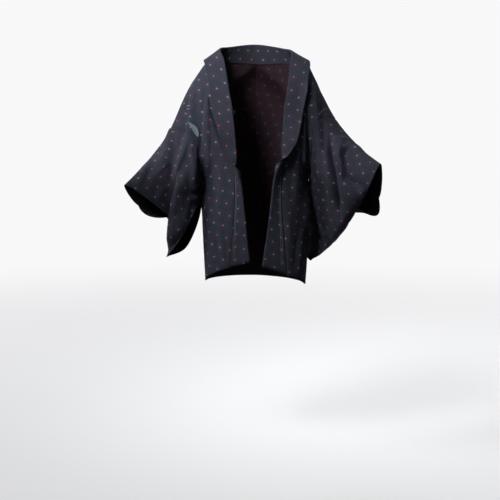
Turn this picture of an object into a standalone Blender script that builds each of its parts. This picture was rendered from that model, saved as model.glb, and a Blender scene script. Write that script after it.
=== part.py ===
"""Haori jacket as it is worn, open in front, with both arms held out: hollow, with no wearer.

The garment hangs from the shoulders. The origin is between the two shoulder points of the neck,
on the centre plane. +Z is up, +X is the wearer's left and the front faces -Y.
Every table below is in millimetres. A wearing "station" is one line across a panel.
"""
import math

import bpy
import numpy as np

# ---------------------------------------------------------------- driving sizes
MM = 0.001
CLOTH_WALL = 1.6
COLLAR_WALL = 2.0
SEAM_GAP = 0.40
ROWS_PER_STATION = 3
FOOT_ROW = 5 * ROWS_PER_STATION     # panel rows from a hem to the armhole's foot
SHOULDER_ROW = 10 * ROWS_PER_STATION
NECK_ROWS = 2 * ROWS_PER_STATION    # collar rows from the shoulder to the centre back
PANEL_COLUMNS = 12
GUSSET_COLUMNS = 4
SLEEVE_COLUMNS = {"right": 19, "left": 16}
ROWS_BELOW = 10                     # sleeve rows from the bottom seam to the armhole's foot
GUSSET_SWELL = 2                    # how far a gusset's middle stands out

COLLAR_TURN_RADIUS = 3.2
COLLAR_STEPS = (4, 5, 4)            # points along the sewn half, the turn and the free half

ARMHOLE_GAP = 0.45
FOOT_CLEARANCE = 2.0
SIDE_CLEARANCE = 5.0

LOOP_RADIUS = 5.5
LOOP_CORD_RADIUS = 1.4
LOOP_STEPS = 10
LOOP_SIDES = 8
LOOP_STATION = {"right": 6.9, "left": 6.6}

LINING_WALL = 1.0
LINING_LIFT = 1.6

# ---------------------------------------------------------------- tables
# The collar seam and the collar's crease, hem upwards, with the panel station each belongs to.
# turn is the free half's angle in degrees: 176 lies folded outwards over the front, 0 stands
# straight on, negative is folded to the inside. free is the free half's chord: less than its
# cloth width where it twists over.
# columns: station, seam x, y, z, crease x, y, z, turn, free
COLLAR_RIGHT = (
    (0.0, -86, -121, -722, -20, -135, -705, -118, 62),
    (1.0, -80, -125, -640, -30, -135, -615, -122, 62),
    (2.0, -72, -125, -535, -40, -140, -519, -132, 62),
    (3.0, -69, -124, -457, -51, -150, -442, -156, 56),
    (3.6, -69, -123, -428, -59, -157, -420, -152, 26),
    (4.0, -70, -122, -408, -66, -158, -402, -84, 8),
    (4.3, -73, -121, -392, -66, -157, -388, 8, 8),
    (4.6, -78, -119, -373, -63, -155, -370, 92, 15),
    (5.0, -86, -117, -350, -62, -150, -348, 124, 27),
    (6.0, -108, -112, -300, -66, -133, -303, 142, 46),
    (7.0, -136, -93, -192, -77, -110, -199, 174, 62),
    (8.0, -152, -76, -130, -89, -88, -130, 177, 62),
    (9.0, -157, -38, -60, -104, -44, -42, 177, 62),
    (10.0, -157, 0, -33, -117, 2, -2, 177, 60),
)
COLLAR_LEFT = (
    (0.0, 105, -120, -747, 21, -136, -719, -118, 62),
    (1.0, 97, -122, -640, 36, -135, -618, -122, 62),
    (2.0, 87, -122, -525, 49, -140, -519, -132, 62),
    (3.0, 84, -121, -450, 59, -150, -440, -156, 57),
    (4.0, 84, -120, -405, 71, -158, -396, -154, 28),
    (4.35, 86, -119, -386, 79, -158, -380, -122, 10),
    (4.65, 90, -118, -370, 83, -156, -366, -30, 8),
    (5.0, 96, -116, -350, 83, -151, -350, 92, 17),
    (5.5, 108, -113, -320, 83, -141, -320, 130, 36),
    (6.0, 122, -110, -290, 85, -131, -290, 144, 50),
    (7.0, 150, -92, -192, 92, -111, -199, 174, 62),
    (8.0, 163, -76, -130, 104, -89, -130, 177, 62),
    (9.0, 170, -42, -70, 113, -46, -60, 177, 62),
    (10.0, 170, 0, -42, 118, 2, -12, 177, 60),
)
COLLAR_NECK = (
    (11.0, -118, 54, -37, -88, 44, 9, 177, 58),
    (12.0, 0, 82, -45, 0, 70, 20, 177, 58),
    (13.0, 124, 54, -43, 90, 44, 4, 177, 58),
)

# The outer edge of each panel, from the shoulder fold down to the hem. The first six stations are
# the armhole, the rest the side seam. round and dip bend the line from collar to edge.
# belly pushes its middle outwards.
# columns: edge x, y, z, round, dip, belly
FRONT_RIGHT = (
    (-283, -20, -265, 0.30, 0.30, 0),
    (-237, -57, -270, 0.30, 0.20, 10),
    (-196, -84, -300, 0.30, 0.20, 14),
    (-181, -88, -358, 0.35, 0.20, 14),
    (-178, -64, -416, 0.55, 0.20, 10),
    (-178, -20, -470, 0.80, 0.20, 6),
    (-180, -22, -515, 0.90, 0.25, 2),
    (-180, -26, -560, 0.90, 0.30, 0),
    (-179, -31, -620, 0.90, 0.32, 0),
    (-175, -36, -700, 0.90, 0.35, 0),
    (-171, -40, -776, 0.90, 0.40, 0),
)
FRONT_LEFT = (
    (266, -20, -235, 0.00, 0.00, 0),
    (220, -60, -228, 0.10, 0.05, 8),
    (185, -84, -267, 0.25, 0.15, 12),
    (180, -92, -328, 0.35, 0.20, 14),
    (178, -78, -388, 0.55, 0.20, 10),
    (178, -22, -444, 0.80, 0.20, 6),
    (180, -22, -495, 0.90, 0.25, 2),
    (180, -26, -550, 0.90, 0.30, 0),
    (178, -31, -620, 0.90, 0.32, 0),
    (172, -36, -705, 0.90, 0.35, 0),
    (167, -40, -788, 0.90, 0.40, 0),
)
BACK_RIGHT = (
    (-283, -20, -265, 0.30, 0.30, 0),
    (-240, 24, -268, 0.35, 0.30, 10),
    (-204, 58, -296, 0.45, 0.30, 14),
    (-186, 72, -350, 0.60, 0.35, 16),
    (-181, 58, -412, 0.75, 0.35, 12),
    (-180, 22, -470, 0.85, 0.35, 6),
    (-182, 26, -520, 0.88, 0.30, 0),
    (-181, 30, -585, 0.88, 0.25, 0),
    (-178, 33, -655, 0.88, 0.15, 0),
    (-174, 35, -722, 0.88, 0.05, 0),
    (-170, 36, -784, 0.88, 0.00, 0),
)
BACK_LEFT = (
    (266, -20, -235, 0.00, 0.00, 0),
    (226, 24, -232, 0.15, 0.10, 10),
    (196, 58, -264, 0.40, 0.25, 14),
    (185, 72, -322, 0.60, 0.35, 16),
    (180, 58, -384, 0.75, 0.35, 12),
    (180, 22, -440, 0.85, 0.35, 6),
    (181, 26, -500, 0.88, 0.30, 0),
    (180, 30, -575, 0.88, 0.25, 0),
    (177, 33, -650, 0.88, 0.15, 0),
    (171, 35, -722, 0.88, 0.05, 0),
    (166, 36, -796, 0.88, 0.00, 0),
)
# The centre-back seam, from the neck seam to the hem, for the same stations 2 to 10.
CENTRE_BACK = (
    (82, -45), (128, -108), (160, -205), (181, -310), (193, -410),
    (200, -510), (204, -610), (206, -705), (207, -790),
)

# Each sleeve is a flat bag turned by the arm: a row for each line from the armhole side to the
# cuff side, with its points x, y, z. Line 1 crosses the middle of the armhole, line 2 runs from the
# armhole's foot to the cuff's foot, and the bottom seam is one line that both layers share. On the
# right the hanging strip beside the body laps over the forearm's part, at its fourth point.
SLEEVE_RIGHT_TOP = (
    (-283, -20, -265), (-304, -36, -298), (-330, -58, -332), (-354, -84, -363), (-378, -115, -391),
    (-402, -151, -418), (-427, -190, -444))
SLEEVE_RIGHT_FRONT = (
    ((-187, -88, -330), (-208, -104, -347), (-234, -121, -368), (-257, -130, -390),
     (-249, -106, -392), (-302, -119, -432), (-365, -158, -484)),
    ((-178, -20, -470), (-204, -84, -476), (-242, -122, -486), (-281, -126, -502),
     (-266, -98, -512), (-274, -86, -536), (-290, -90, -555)),
    ((-202, -87, -535), (-228, -106, -541), (-258, -114, -550), (-291, -106, -565),
     (-286, -72, -575), (-290, -38, -586), (-292, 6, -594)),
    ((-244, -92, -619), (-262, -98, -621), (-282, -98, -624), (-298, -82, -629),
     (-297, -42, -634), (-292, 20, -636), (-276, 84, -632)),
)
SLEEVE_RIGHT_BACK = (
    ((-192, 72, -330), (-222, 62, -360), (-256, 38, -394), (-294, 2, -428),
     (-328, -40, -460), (-360, -84, -490), (-388, -128, -515)),
    ((-180, 22, -470), (-204, 52, -492), (-232, 62, -514), (-262, 56, -536),
     (-290, 20, -556), (-302, -34, -562), (-290, -90, -555)),
    ((-195, 33, -577), (-208, 64, -580), (-228, 90, -586), (-254, 104, -592),
     (-278, 92, -598), (-294, 54, -600), (-292, 6, -594)),
    ((-239, 26, -671), (-236, 56, -664), (-234, 90, -656), (-240, 124, -648),
     (-254, 140, -642), (-268, 120, -636), (-276, 84, -632)),
)
SLEEVE_RIGHT_BOTTOM = (
    (-298, -60, -693), (-301, -40, -694), (-302, -14, -693), (-298, 18, -691), (-288, 56, -686),
    (-266, 104, -676), (-236, 150, -660))
SLEEVE_LEFT_TOP = ((266, -20, -235), (308, -58, -286), (339, -108, -323), (370, -163, -351),
                   (400, -220, -375))
SLEEVE_LEFT_FRONT = (
    ((180, -88, -335), (232, -122, -375), (282, -150, -412), (328, -172, -440), (365, -185, -452)),
    ((178, -22, -444), (222, -88, -478), (268, -120, -508), (306, -134, -524), (336, -130, -525)),
    ((185, 40, -520), (210, -28, -548), (240, -66, -574), (268, -88, -592), (294, -85, -602)),
    ((179, 120, -580), (198, 58, -616), (218, 16, -642), (232, -18, -660), (245, -34, -665)),
)
SLEEVE_LEFT_BACK = (
    ((188, 72, -330), (246, 28, -372), (305, -30, -412), (360, -84, -454), (405, -130, -490)),
    ((180, 22, -440), (228, 24, -490), (272, -10, -530), (312, -60, -545), (336, -130, -525)),
    ((186, 78, -500), (222, 50, -548), (254, 10, -584), (280, -34, -604), (294, -85, -602)),
    ((176, 150, -560), (200, 110, -606), (222, 62, -642), (238, 12, -664), (245, -34, -665)),
)
SLEEVE_LEFT_BOTTOM = ((140, 185, -632), (150, 158, -668), (165, 122, -694), (178, 78, -708),
                      (190, 35, -717))
# How far the slack lower half of the cuff's back edge sags, x, y, z.
MOUTH_SAG = {"right": (-14, 4, -16), "left": (26, 38, -42)}

# The corner of lining, down the armhole front: panel station, then how far across the panel
# it starts and ends.
LINING_CORNER = ((1.05, 0.86, 0.90), (1.35, 0.84, 0.97), (1.65, 0.86, 0.985), (1.95, 0.90, 0.985),
                 (2.15, 0.95, 0.985))

# The large folds. part is the piece that a fold crosses, the path is its line seen from the front,
# x and z, half width is where it has sunk to a third, and rise is its height, negative in a valley.
# columns: part, path, half width, rise
FRONT_FOLDS = (
    ("all", ((-168, -104), (-178, -185), (-186, -267), (-186, -350), (-178, -433), (-168, -499)), 14, -8),
    ("body", ((-150, -120), (-160, -202), (-162, -300), (-156, -399), (-148, -499)), 15, 4),
    ("all", ((-207, -88), (-212, -169), (-209, -251), (-203, -333), (-197, -426)), 16, 5),
    ("all", ((171, -78), (165, -153), (173, -235), (179, -333), (174, -449), (171, -549)), 14, -10),
    ("body", ((142, -251), (133, -333), (133, -433), (137, -516)), 18, 4),
    ("all", ((196, -120), (199, -235), (205, -366), (206, -499), (200, -616)), 18, 5),
    ("sleeve", ((236, -284), (248, -366), (259, -449), (269, -516), (281, -572)), 13, -8),
    ("sleeve", ((300, -300), (276, -316), (266, -346), (276, -378), (300, -402)), 12, 8),
)
BACK_FOLDS = (
    ("all", ((-176, -200), (-184, -290), (-182, -370), (-172, -460)), 14, -8),
    ("all", ((172, -170), (182, -250), (184, -340), (174, -440)), 14, -8),
    ("body", ((-110, -180), (-120, -320), (-126, -480), (-122, -700)), 20, 6),
    ("body", ((-30, -160), (-36, -300), (-34, -460), (-40, -640), (-42, -780)), 18, -4),
    ("body", ((66, -170), (72, -320), (76, -500), (80, -760)), 20, 6),
    ("body", ((108, -230), (118, -360), (122, -520), (118, -740)), 16, -4),
    ("sleeve", ((-246, -330), (-262, -410), (-270, -500), (-262, -590)), 16, -6),
    ("sleeve", ((-290, -350), (-306, -430), (-312, -520)), 14, 6),
    ("sleeve", ((236, -310), (246, -400), (250, -500), (240, -590)), 16, -6),
    ("sleeve", ((282, -330), (296, -420), (300, -510)), 14, 6),
)
FOLD_FADE = 0.22                    # share of a fold's length over which each end dies away

CLOTH = ("cloth", (0.020, 0.022, 0.028), 0.72)
LINING = ("lining", (0.42, 0.50, 0.52), 0.60)
CORD = ("cord", (0.012, 0.012, 0.015), 0.70)


# ---------------------------------------------------------------- curves and grids
def spline(points, places):
    """Points on a smooth curve through the given points; place 0 is the first, 1 the second."""
    points = np.asarray(points, float)
    slopes = np.gradient(points, axis=0)
    places = np.clip(np.asarray(places, float), 0, len(points) - 1)
    start = np.minimum(places.astype(int), len(points) - 2)
    t = (places - start).reshape((-1,) + (1,) * (points.ndim - 1))
    a, b, u, v = points[start], points[start + 1], slopes[start], slopes[start + 1]
    return ((2 * t**3 - 3 * t**2 + 1) * a + (t**3 - 2 * t**2 + t) * u
            + (3 * t**2 - 2 * t**3) * b + (t**3 - t**2) * v)


def stations(first, last, steps=ROWS_PER_STATION):
    return np.linspace(first, last, (last - first) * steps + 1)


def soft(t):
    t = np.clip(t, 0, 1)
    return t * t * (3 - 2 * t)


def unit(vectors):
    return vectors / np.maximum(np.linalg.norm(vectors, axis=-1, keepdims=True), 1e-9)


def beside_path(places, path):
    """Each place's distance from a smooth path, and how far along the path that is, 0 to 1."""
    line = spline(path, np.linspace(0, len(path) - 1, 8 * len(path)))
    steps = np.diff(line, axis=0)
    walked = np.concatenate([[0], np.cumsum(np.linalg.norm(steps, axis=1))])
    away = places[:, None] - line[None, :-1]
    t = np.clip((away * steps).sum(axis=2) / (steps**2).sum(axis=1), 0, 1)
    gaps = np.linalg.norm(away - t[:, :, None] * steps, axis=2)
    best = gaps.argmin(axis=1)
    each = np.arange(len(places))
    along = walked[best] + t[each, best] * (walked[best + 1] - walked[best])
    return gaps[each, best], along / walked[-1]


def fold_height(points, part, frontness):
    """How far the large folds move each point out. frontness is 1 in front and 0 behind."""
    height = np.zeros(len(points))
    for table, share in ((FRONT_FOLDS, frontness), (BACK_FOLDS, 1 - frontness)):
        for where, path, half_width, rise in table:
            if where in ("all", part):
                gap, along = beside_path(points[:, [0, 2]], path)
                ends = soft(along / FOLD_FADE) * soft((1 - along) / FOLD_FADE)
                height += share * rise * ends * np.exp(-(gap / half_width)**2)
    return height


class Piece:
    """One cut piece of cloth as the grid of its middle surface, before it is given its wall."""

    def __init__(self, grid, flip=False, ring=False, zipped=()):
        rows, columns = grid.shape[:2]
        self.index = np.arange(rows * columns).reshape(rows, columns)
        self.points = grid.reshape(-1, 3).copy()
        for k in zipped:
            twin = rows - k
            self.index[twin, -1] = self.index[k, -1]
        faces = []
        for i in range(rows if ring else rows - 1):
            below = (i + 1) % rows
            for j in range(columns - 1):
                face = (self.index[i, j], self.index[below, j],
                        self.index[below, j + 1], self.index[i, j + 1])
                face = tuple(dict.fromkeys(face))
                faces.append(face[::-1] if flip else face)
        self.faces = faces
        self.find_normals()

    def find_normals(self):
        """Corner normals, and how much further a corner on a crease moves to keep the wall."""
        total = np.zeros_like(self.points)
        face_normals = []
        for face in self.faces:
            corners = self.points[list(face)]
            across = np.cross(corners[2] - corners[0], corners[-1] - corners[1])
            face_normals.append(across / max(np.linalg.norm(across), 1e-9))
            total[list(face)] += across
        self.normals = unit(total)
        least = np.ones(len(self.points))
        for face, facing in zip(self.faces, face_normals):
            for corner in face:
                least[corner] = min(least[corner], self.normals[corner] @ facing)
        self.reach = 1 / np.clip(least, 0.35, 1)

    def pull_back(self, edge, inner, gap=SEAM_GAP / 2):
        """Moves an edge off its seam line by half the seam gap, towards the next line of points."""
        step = unit(self.points[inner] - self.points[edge])
        self.points[edge] = self.points[edge] + step * gap

    def lay_folds(self, part, frontness):
        """frontness has a number for each grid row, or for each point."""
        frontness = np.broadcast_to(frontness, self.index.shape).reshape(-1)
        self.points += self.normals * fold_height(self.points, part, frontness)[:, None]
        self.find_normals()

    def make(self, name, wall, look):
        used = np.unique([corner for face in self.faces for corner in face])
        order = {int(old): new for new, old in enumerate(used)}
        count = len(used)
        half = self.normals[used] * self.reach[used][:, None] * wall / 2
        middle = self.points[used]
        skin = [tuple(order[int(corner)] for corner in face) for face in self.faces]
        back = [tuple(count + corner for corner in reversed(face)) for face in skin]
        sides = {(a, b) for face in skin for a, b in zip(face, face[1:] + face[:1])}
        rim = [(b, a, count + a, count + b) for a, b in sorted(sides) if (b, a) not in sides]
        points = np.vstack([middle + half, middle - half])
        return solid(name, points, skin + back + rim, look)


def sew(*edges):
    """Gives pieces the same rim direction along a seam, so that their edges stay parallel."""
    shared = unit(sum(piece.normals[edge] for piece, edge in edges))
    for piece, edge in edges:
        piece.normals[edge] = shared


# ---------------------------------------------------------------- solids
def material(look):
    name, colour, rough = look
    found = bpy.data.materials.new(name)
    found.use_nodes = True
    shader = found.node_tree.nodes["Principled BSDF"]
    shader.inputs["Base Color"].default_value = (*colour, 1.0)
    shader.inputs["Roughness"].default_value = rough
    shader.inputs["Metallic"].default_value = 0.0
    return found


def solid(name, points, faces, look):
    mesh = bpy.data.meshes.new(name)
    mesh.from_pydata((np.asarray(points) * MM).tolist(), [], faces)
    mesh.materials.append(material(look))
    mesh.shade_smooth()
    mesh.set_sharp_from_angle(angle=math.radians(40))
    made = bpy.data.objects.new(name, mesh)
    bpy.context.scene.collection.objects.link(made)
    return made


# ---------------------------------------------------------------- collar
def collar_lines():
    """Seam, crease and turn for every row, from the right hem round the neck to the left hem."""
    left = [(24 - row[0],) + row[1:] for row in COLLAR_LEFT[::-1]]
    table = np.array(list(COLLAR_RIGHT + COLLAR_NECK) + left, float)
    places = np.interp(stations(0, 24), table[:, 0], np.arange(len(table)))
    rows = spline(table[:, 1:], places)
    return rows[:, :3], rows[:, 3:6], rows[:, 6], rows[:, 7]


def collar_piece():
    """The folded strip: its sewn half, the turn at the crease, then its free half."""
    seam, crease, turn, free_width = collar_lines()
    along = unit(np.gradient((seam + crease) / 2, axis=0))
    width = np.linalg.norm(crease - seam, axis=1)
    across = unit(crease - seam)
    out = unit(np.cross(across, along))
    sewn, bend, free = COLLAR_STEPS
    grid = []
    for k in range(len(seam)):
        angle = math.radians(turn[k])
        side = math.copysign(1.0, angle)
        reach = width[k] - COLLAR_TURN_RADIUS
        line = [seam[k] + across[k] * reach * step / (sewn - 1) for step in range(sewn)]
        hub = line[-1] + out[k] * COLLAR_TURN_RADIUS * side
        for step in range(1, bend + 1):
            turned = angle * step / bend
            spoke = across[k] * math.sin(abs(turned)) - out[k] * side * math.cos(turned)
            line.append(hub + spoke * COLLAR_TURN_RADIUS)
        ahead = across[k] * math.cos(angle) + out[k] * math.sin(angle)
        last = line[-1]
        line += [last + ahead * free_width[k] * step / free for step in range(1, free + 1)]
        grid.append(line)
    return Piece(np.array(grid), flip=True)


# ---------------------------------------------------------------- body
def line_across(inner, outer, bend, dip, belly, push):
    """A station's line from the collar or the centre back to the armhole or side seam."""
    t = np.linspace(0, 1, PANEL_COLUMNS)[None, :]
    swing, drop = np.sin(t * math.pi / 2), 1 - np.cos(t * math.pi / 2)
    bend, dip, belly = bend[:, None], dip[:, None], belly[:, None]
    x = inner[:, :1] + (outer - inner)[:, :1] * (t + bend * (swing - t))
    y = inner[:, 1:2] + (outer - inner)[:, 1:2] * (t + bend * (drop - t))
    z = inner[:, 2:] + (outer - inner)[:, 2:] * (t + dip * (drop - t))
    return np.stack([x, y + push * belly * np.sin(t * math.pi), z], axis=2)


def body_edges(side):
    """Rows from the back hem over the shoulder to the front hem: inner edge, outer edge."""
    front, back = (FRONT_RIGHT, BACK_RIGHT) if side == "right" else (FRONT_LEFT, BACK_LEFT)
    outer = spline(np.array(back[:0:-1] + front, float), stations(0, 20))
    seam = collar_lines()[0]
    if side == "left":
        seam = seam[::-1]
    centre = spline([(0, y, z) for y, z in CENTRE_BACK], stations(0, 8))
    inner = np.vstack([centre[:0:-1], seam[:SHOULDER_ROW + NECK_ROWS + 1][::-1]])
    return inner, outer


def body_piece(side):
    inner, outer = body_edges(side)
    push = np.where(np.arange(len(outer)) < SHOULDER_ROW, 1.0, -1.0)[:, None]
    grid = line_across(inner, outer[:, :3], outer[:, 3], outer[:, 4], outer[:, 5], push)
    return Piece(grid, flip=side == "right")


def gusset_piece(side):
    """The side strip between the panels, from the armhole's foot to the hem."""
    edge = body_edges(side)[1][:, :3]
    back, front = edge[:FOOT_ROW + 1][::-1], edge[-FOOT_ROW - 1:]
    t = np.linspace(0, 1, GUSSET_COLUMNS)[None, :, None]
    grid = front[:, None] * (1 - t) + back[:, None] * t
    outwards = GUSSET_SWELL if side == "left" else -GUSSET_SWELL
    grid[:, :, 0] += np.sin(t[:, :, 0] * math.pi) * outwards
    return Piece(grid, flip=side == "right")


# ---------------------------------------------------------------- sleeves
def sleeve_piece(side):
    """A bag in one cut: rings from the armhole side to the cuff side, each from the bottom seam
    up the front, over the arm and down the back. Below the cuff the two layers are sewn."""
    if side == "right":
        top, front, back, bottom = (SLEEVE_RIGHT_TOP, SLEEVE_RIGHT_FRONT, SLEEVE_RIGHT_BACK,
                                    SLEEVE_RIGHT_BOTTOM)
    else:
        top, front, back, bottom = (SLEEVE_LEFT_TOP, SLEEVE_LEFT_FRONT, SLEEVE_LEFT_BACK,
                                    SLEEVE_LEFT_BOTTOM)
    lines = np.array((bottom,) + front[::-1] + (top,) + back + (bottom,), float)
    hang = ROWS_BELOW
    around = 2 * (SHOULDER_ROW - FOOT_ROW) + 1
    below = np.linspace(0, 3, hang + 1)
    beside = np.linspace(3, 7, around)
    places = np.concatenate([below, beside[1:], 10 - below[::-1][1:-1]])
    grid = spline(lines, places)
    columns = SLEEVE_COLUMNS[side]
    across = np.linspace(0, len(top) - 1, columns)
    grid = spline(grid.transpose(1, 0, 2), across).transpose(1, 0, 2)
    along = np.linspace(0, 1, columns)[None, :, None]
    # The slack back edge of the cuff.
    slack = np.sin(np.clip(places - 6, 0, 1) * math.pi)[:, None, None]
    grid = grid + slack * along**3 * np.array(MOUTH_SAG[side], float)
    # The armhole edge follows the body's.
    edge = body_edges(side)[1][:, :3]
    armhole = edge[FOOT_ROW:FOOT_ROW + around][::-1]
    off = np.zeros((len(places), 3))
    off[hang:hang + around] = armhole - grid[hang:hang + around, 0]
    grid = grid + off[:, None] * (1 - along)**2
    # Below the armhole's foot the open edges stand clear of the body's side.
    depth = np.maximum(3 - places, places - 7)
    stand = np.where(depth < 0, 0, FOOT_CLEARANCE + (SIDE_CLEARANCE - FOOT_CLEARANCE)
                     * soft(depth / 0.5))[:, None]
    outwards = -1.0 if side == "right" else 1.0
    grid[:, :, 0] += outwards * stand * (1 - along[:, :, 0])**2
    zipped = range(1, hang + 1)
    for k in zipped:
        grid[k, -1] = (grid[k, -1] + grid[-k, -1]) / 2
    piece = Piece(grid, flip=side == "left", ring=True, zipped=zipped)
    piece.from_shoulder = 2.5 * np.clip(5 - places, -2, 2)
    return piece


# ---------------------------------------------------------------- small pieces
def on_panel(piece, row, column):
    """A point on a piece's middle surface and its outward direction, between grid lines."""
    i, j = int(row), int(column)
    s, t = row - i, column - j
    weights = ((i, j, (1 - s) * (1 - t)), (i + 1, j, s * (1 - t)),
               (i, j + 1, (1 - s) * t), (i + 1, j + 1, s * t))
    point = sum(piece.points[piece.index[a, b]] * w for a, b, w in weights)
    out = sum(piece.normals[piece.index[a, b]] * w for a, b, w in weights)
    return point, unit(out)


def make_lining_corner(body):
    """A corner of lining turned out over the front of the right armhole seam."""
    lift = CLOTH_WALL / 2 + LINING_LIFT + LINING_WALL / 2
    grid = []
    for station, near, far in LINING_CORNER:
        line = []
        for step in range(5):
            column = near + (far - near) * step / 4
            row = SHOULDER_ROW + station * ROWS_PER_STATION
            point, out = on_panel(body, row, column * (PANEL_COLUMNS - 1))
            line.append(point + out * lift)
        grid.append(line)
    Piece(np.array(grid), flip=True).make("lining_corner", LINING_WALL, LINING)


def make_cord_loop(name, collar, row):
    """A short loop of cord standing on the collar's crease."""
    sewn, bend = COLLAR_STEPS[:2]
    turn = sewn + bend // 2
    base = collar.points[collar.index[row, turn]]
    along = unit(collar.points[collar.index[row + 1, turn]] - base)
    centre = (collar.points[collar.index[row, 0]] + collar.points[collar.index[row, 2]]) / 2
    away = unit(base - centre)
    away = unit(away - along * (away @ along))
    side = np.cross(along, away)
    start = COLLAR_WALL / 2 + 0.4 + LOOP_CORD_RADIUS
    points = []
    for step in range(LOOP_STEPS + 1):
        angle = math.pi * step / LOOP_STEPS
        spoke = along * math.cos(angle) + away * math.sin(angle) * 1.2
        middle = base + away * start + spoke * LOOP_RADIUS
        for turn_step in range(LOOP_SIDES):
            around = 2 * math.pi * turn_step / LOOP_SIDES
            offset = unit(spoke) * math.cos(around) + side * math.sin(around)
            points.append(middle + offset * LOOP_CORD_RADIUS)
    faces = []
    for step in range(LOOP_STEPS):
        for k in range(LOOP_SIDES):
            a, b = step * LOOP_SIDES + k, step * LOOP_SIDES + (k + 1) % LOOP_SIDES
            faces.append((a, a + LOOP_SIDES, b + LOOP_SIDES, b))
    last = LOOP_STEPS * LOOP_SIDES
    faces.append(tuple(range(LOOP_SIDES)))
    faces.append(tuple(last + k for k in range(LOOP_SIDES))[::-1])
    return solid(name, points, faces, CORD)


# ---------------------------------------------------------------- assembly
def sew_side(side, collar, body, gusset, sleeve):
    """Sews one half of the jacket: neck, armhole and both side seams. The centre back stays flat."""
    sides = FOOT_ROW + 1
    neck = collar.index[:, 0] if side == "right" else collar.index[::-1, 0]
    neck = neck[:SHOULDER_ROW + NECK_ROWS + 1][::-1]
    first = len(body.index) - len(neck)
    sew((body, body.index[first:, 0]), (collar, neck))
    middle = body.index[:first + 1, 0]
    body.normals[middle] = unit(body.normals[middle] * (0, 1, 1))
    armhole = body.index[sides - 1:len(body.index) - sides + 1, -1][::-1]
    arm = sleeve.index[ROWS_BELOW:ROWS_BELOW + 2 * sides - 1, 0]
    sew((body, armhole[1:-1]), (sleeve, arm[1:-1]))
    sew((body, body.index[:sides, -1][::-1]), (gusset, gusset.index[:, -1]))
    sew((body, body.index[-sides:, -1]), (gusset, gusset.index[:, 0]))


def clear_scene():
    for old in list(bpy.data.objects):
        bpy.data.objects.remove(old, do_unlink=True)


def main():
    clear_scene()
    collar = collar_piece()
    collar.pull_back(collar.index[:, 0], collar.index[:, 1])
    for side in ("right", "left"):
        body = body_piece(side)
        gusset = gusset_piece(side)
        sleeve = sleeve_piece(side)
        for piece in (body, gusset):
            piece.pull_back(piece.index[:, 0], piece.index[:, 1])
            piece.pull_back(piece.index[:, -1], piece.index[:, -2])
        sleeve.pull_back(sleeve.index[:, 0], sleeve.index[:, 1], ARMHOLE_GAP)
        sew_side(side, collar, body, gusset, sleeve)
        body.lay_folds("body", soft(stations(-10, 10) + 0.5)[:, None])
        gusset.lay_folds("body", np.linspace(1, 0, GUSSET_COLUMNS)[None, :])
        sleeve.lay_folds("sleeve", soft(sleeve.from_shoulder + 0.5)[:, None])
        sew_side(side, collar, body, gusset, sleeve)
        body.make("body_" + side, CLOTH_WALL, CLOTH)
        if side == "right":
            make_lining_corner(body)
        row = round(LOOP_STATION[side] * ROWS_PER_STATION)
        make_cord_loop("cord_loop_" + side, collar, row if side == "right" else -1 - row)
        gusset.make("gusset_" + side, CLOTH_WALL, CLOTH)
        sleeve.make("sleeve_" + side, CLOTH_WALL, CLOTH)
    collar.make("collar", COLLAR_WALL, CLOTH)


main()
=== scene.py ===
# %% [markdown]
# # A haori, shown open on outstretched arms
#
# A haori is a short silk coat that is worn over a kimono. It is cut from one narrow bolt, so every
# piece is a rectangle: two body panels that run from the back hem over the shoulder to the front
# hem, two narrow side gussets, a long collar strip and two bag-shaped sleeves. Nothing is shaped by
# cutting; the whole form comes from how the strips hang.
#
# This lesson builds each strip as a grid of points on the middle of the cloth, lays folds on the
# grid, and gives it two faces and a rim. The seams come first, so that neighbours always meet.

# %% Frame
import math

import bpy
import numpy as np
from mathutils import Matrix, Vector, noise


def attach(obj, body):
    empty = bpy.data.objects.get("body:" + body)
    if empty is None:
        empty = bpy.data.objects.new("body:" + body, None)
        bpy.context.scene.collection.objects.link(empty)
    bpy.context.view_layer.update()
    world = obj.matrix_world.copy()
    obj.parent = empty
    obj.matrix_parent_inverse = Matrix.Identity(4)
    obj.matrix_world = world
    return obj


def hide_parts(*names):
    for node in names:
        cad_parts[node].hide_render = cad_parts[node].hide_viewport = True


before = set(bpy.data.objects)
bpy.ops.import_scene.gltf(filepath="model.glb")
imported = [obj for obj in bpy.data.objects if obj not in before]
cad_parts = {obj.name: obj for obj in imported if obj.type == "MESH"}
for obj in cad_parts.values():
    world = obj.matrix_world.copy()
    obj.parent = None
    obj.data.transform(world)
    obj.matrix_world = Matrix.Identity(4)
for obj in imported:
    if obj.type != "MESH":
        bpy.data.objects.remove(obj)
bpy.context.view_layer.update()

# %% [markdown]
# ## Camera
# The coat is seen from chest height, four metres away, with the lens tipped down a few degrees.
# Standing that far off keeps the held-out sleeves in scale with the body.

# %% Camera
CAMERA_PLACE = (-0.020, -4.0, -0.228)
CAMERA_TILT = 6.404
LENS = 84.67

camera = bpy.data.objects.new("camera", bpy.data.cameras.new("camera"))
camera.data.sensor_width = 36.0
camera.data.lens = LENS
camera.location = CAMERA_PLACE
camera.rotation_euler = (math.radians(90 - CAMERA_TILT), 0, 0)
bpy.context.scene.collection.objects.link(camera)
bpy.context.scene.camera = camera
bpy.context.scene.view_settings.view_transform = "Standard"
print("camera at", CAMERA_PLACE, "lens", LENS)

# %% [markdown]
# ## Sizes
# All tables are in millimetres, as a pattern cutter would write them. A "station" is one line
# across a panel. The number of rows between stations only sets how fine the surface is.

# %% Driving sizes
SIDES = ("right", "left")
MM = 0.001
# width of a body panel's cut, in metres
HALF_BOLT = 0.340

# stations of a panel, counted from a hem, and of the collar, counted from its right hem
SIDE_SEAM = 5
SHOULDER = 10
NAPE = 12

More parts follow.
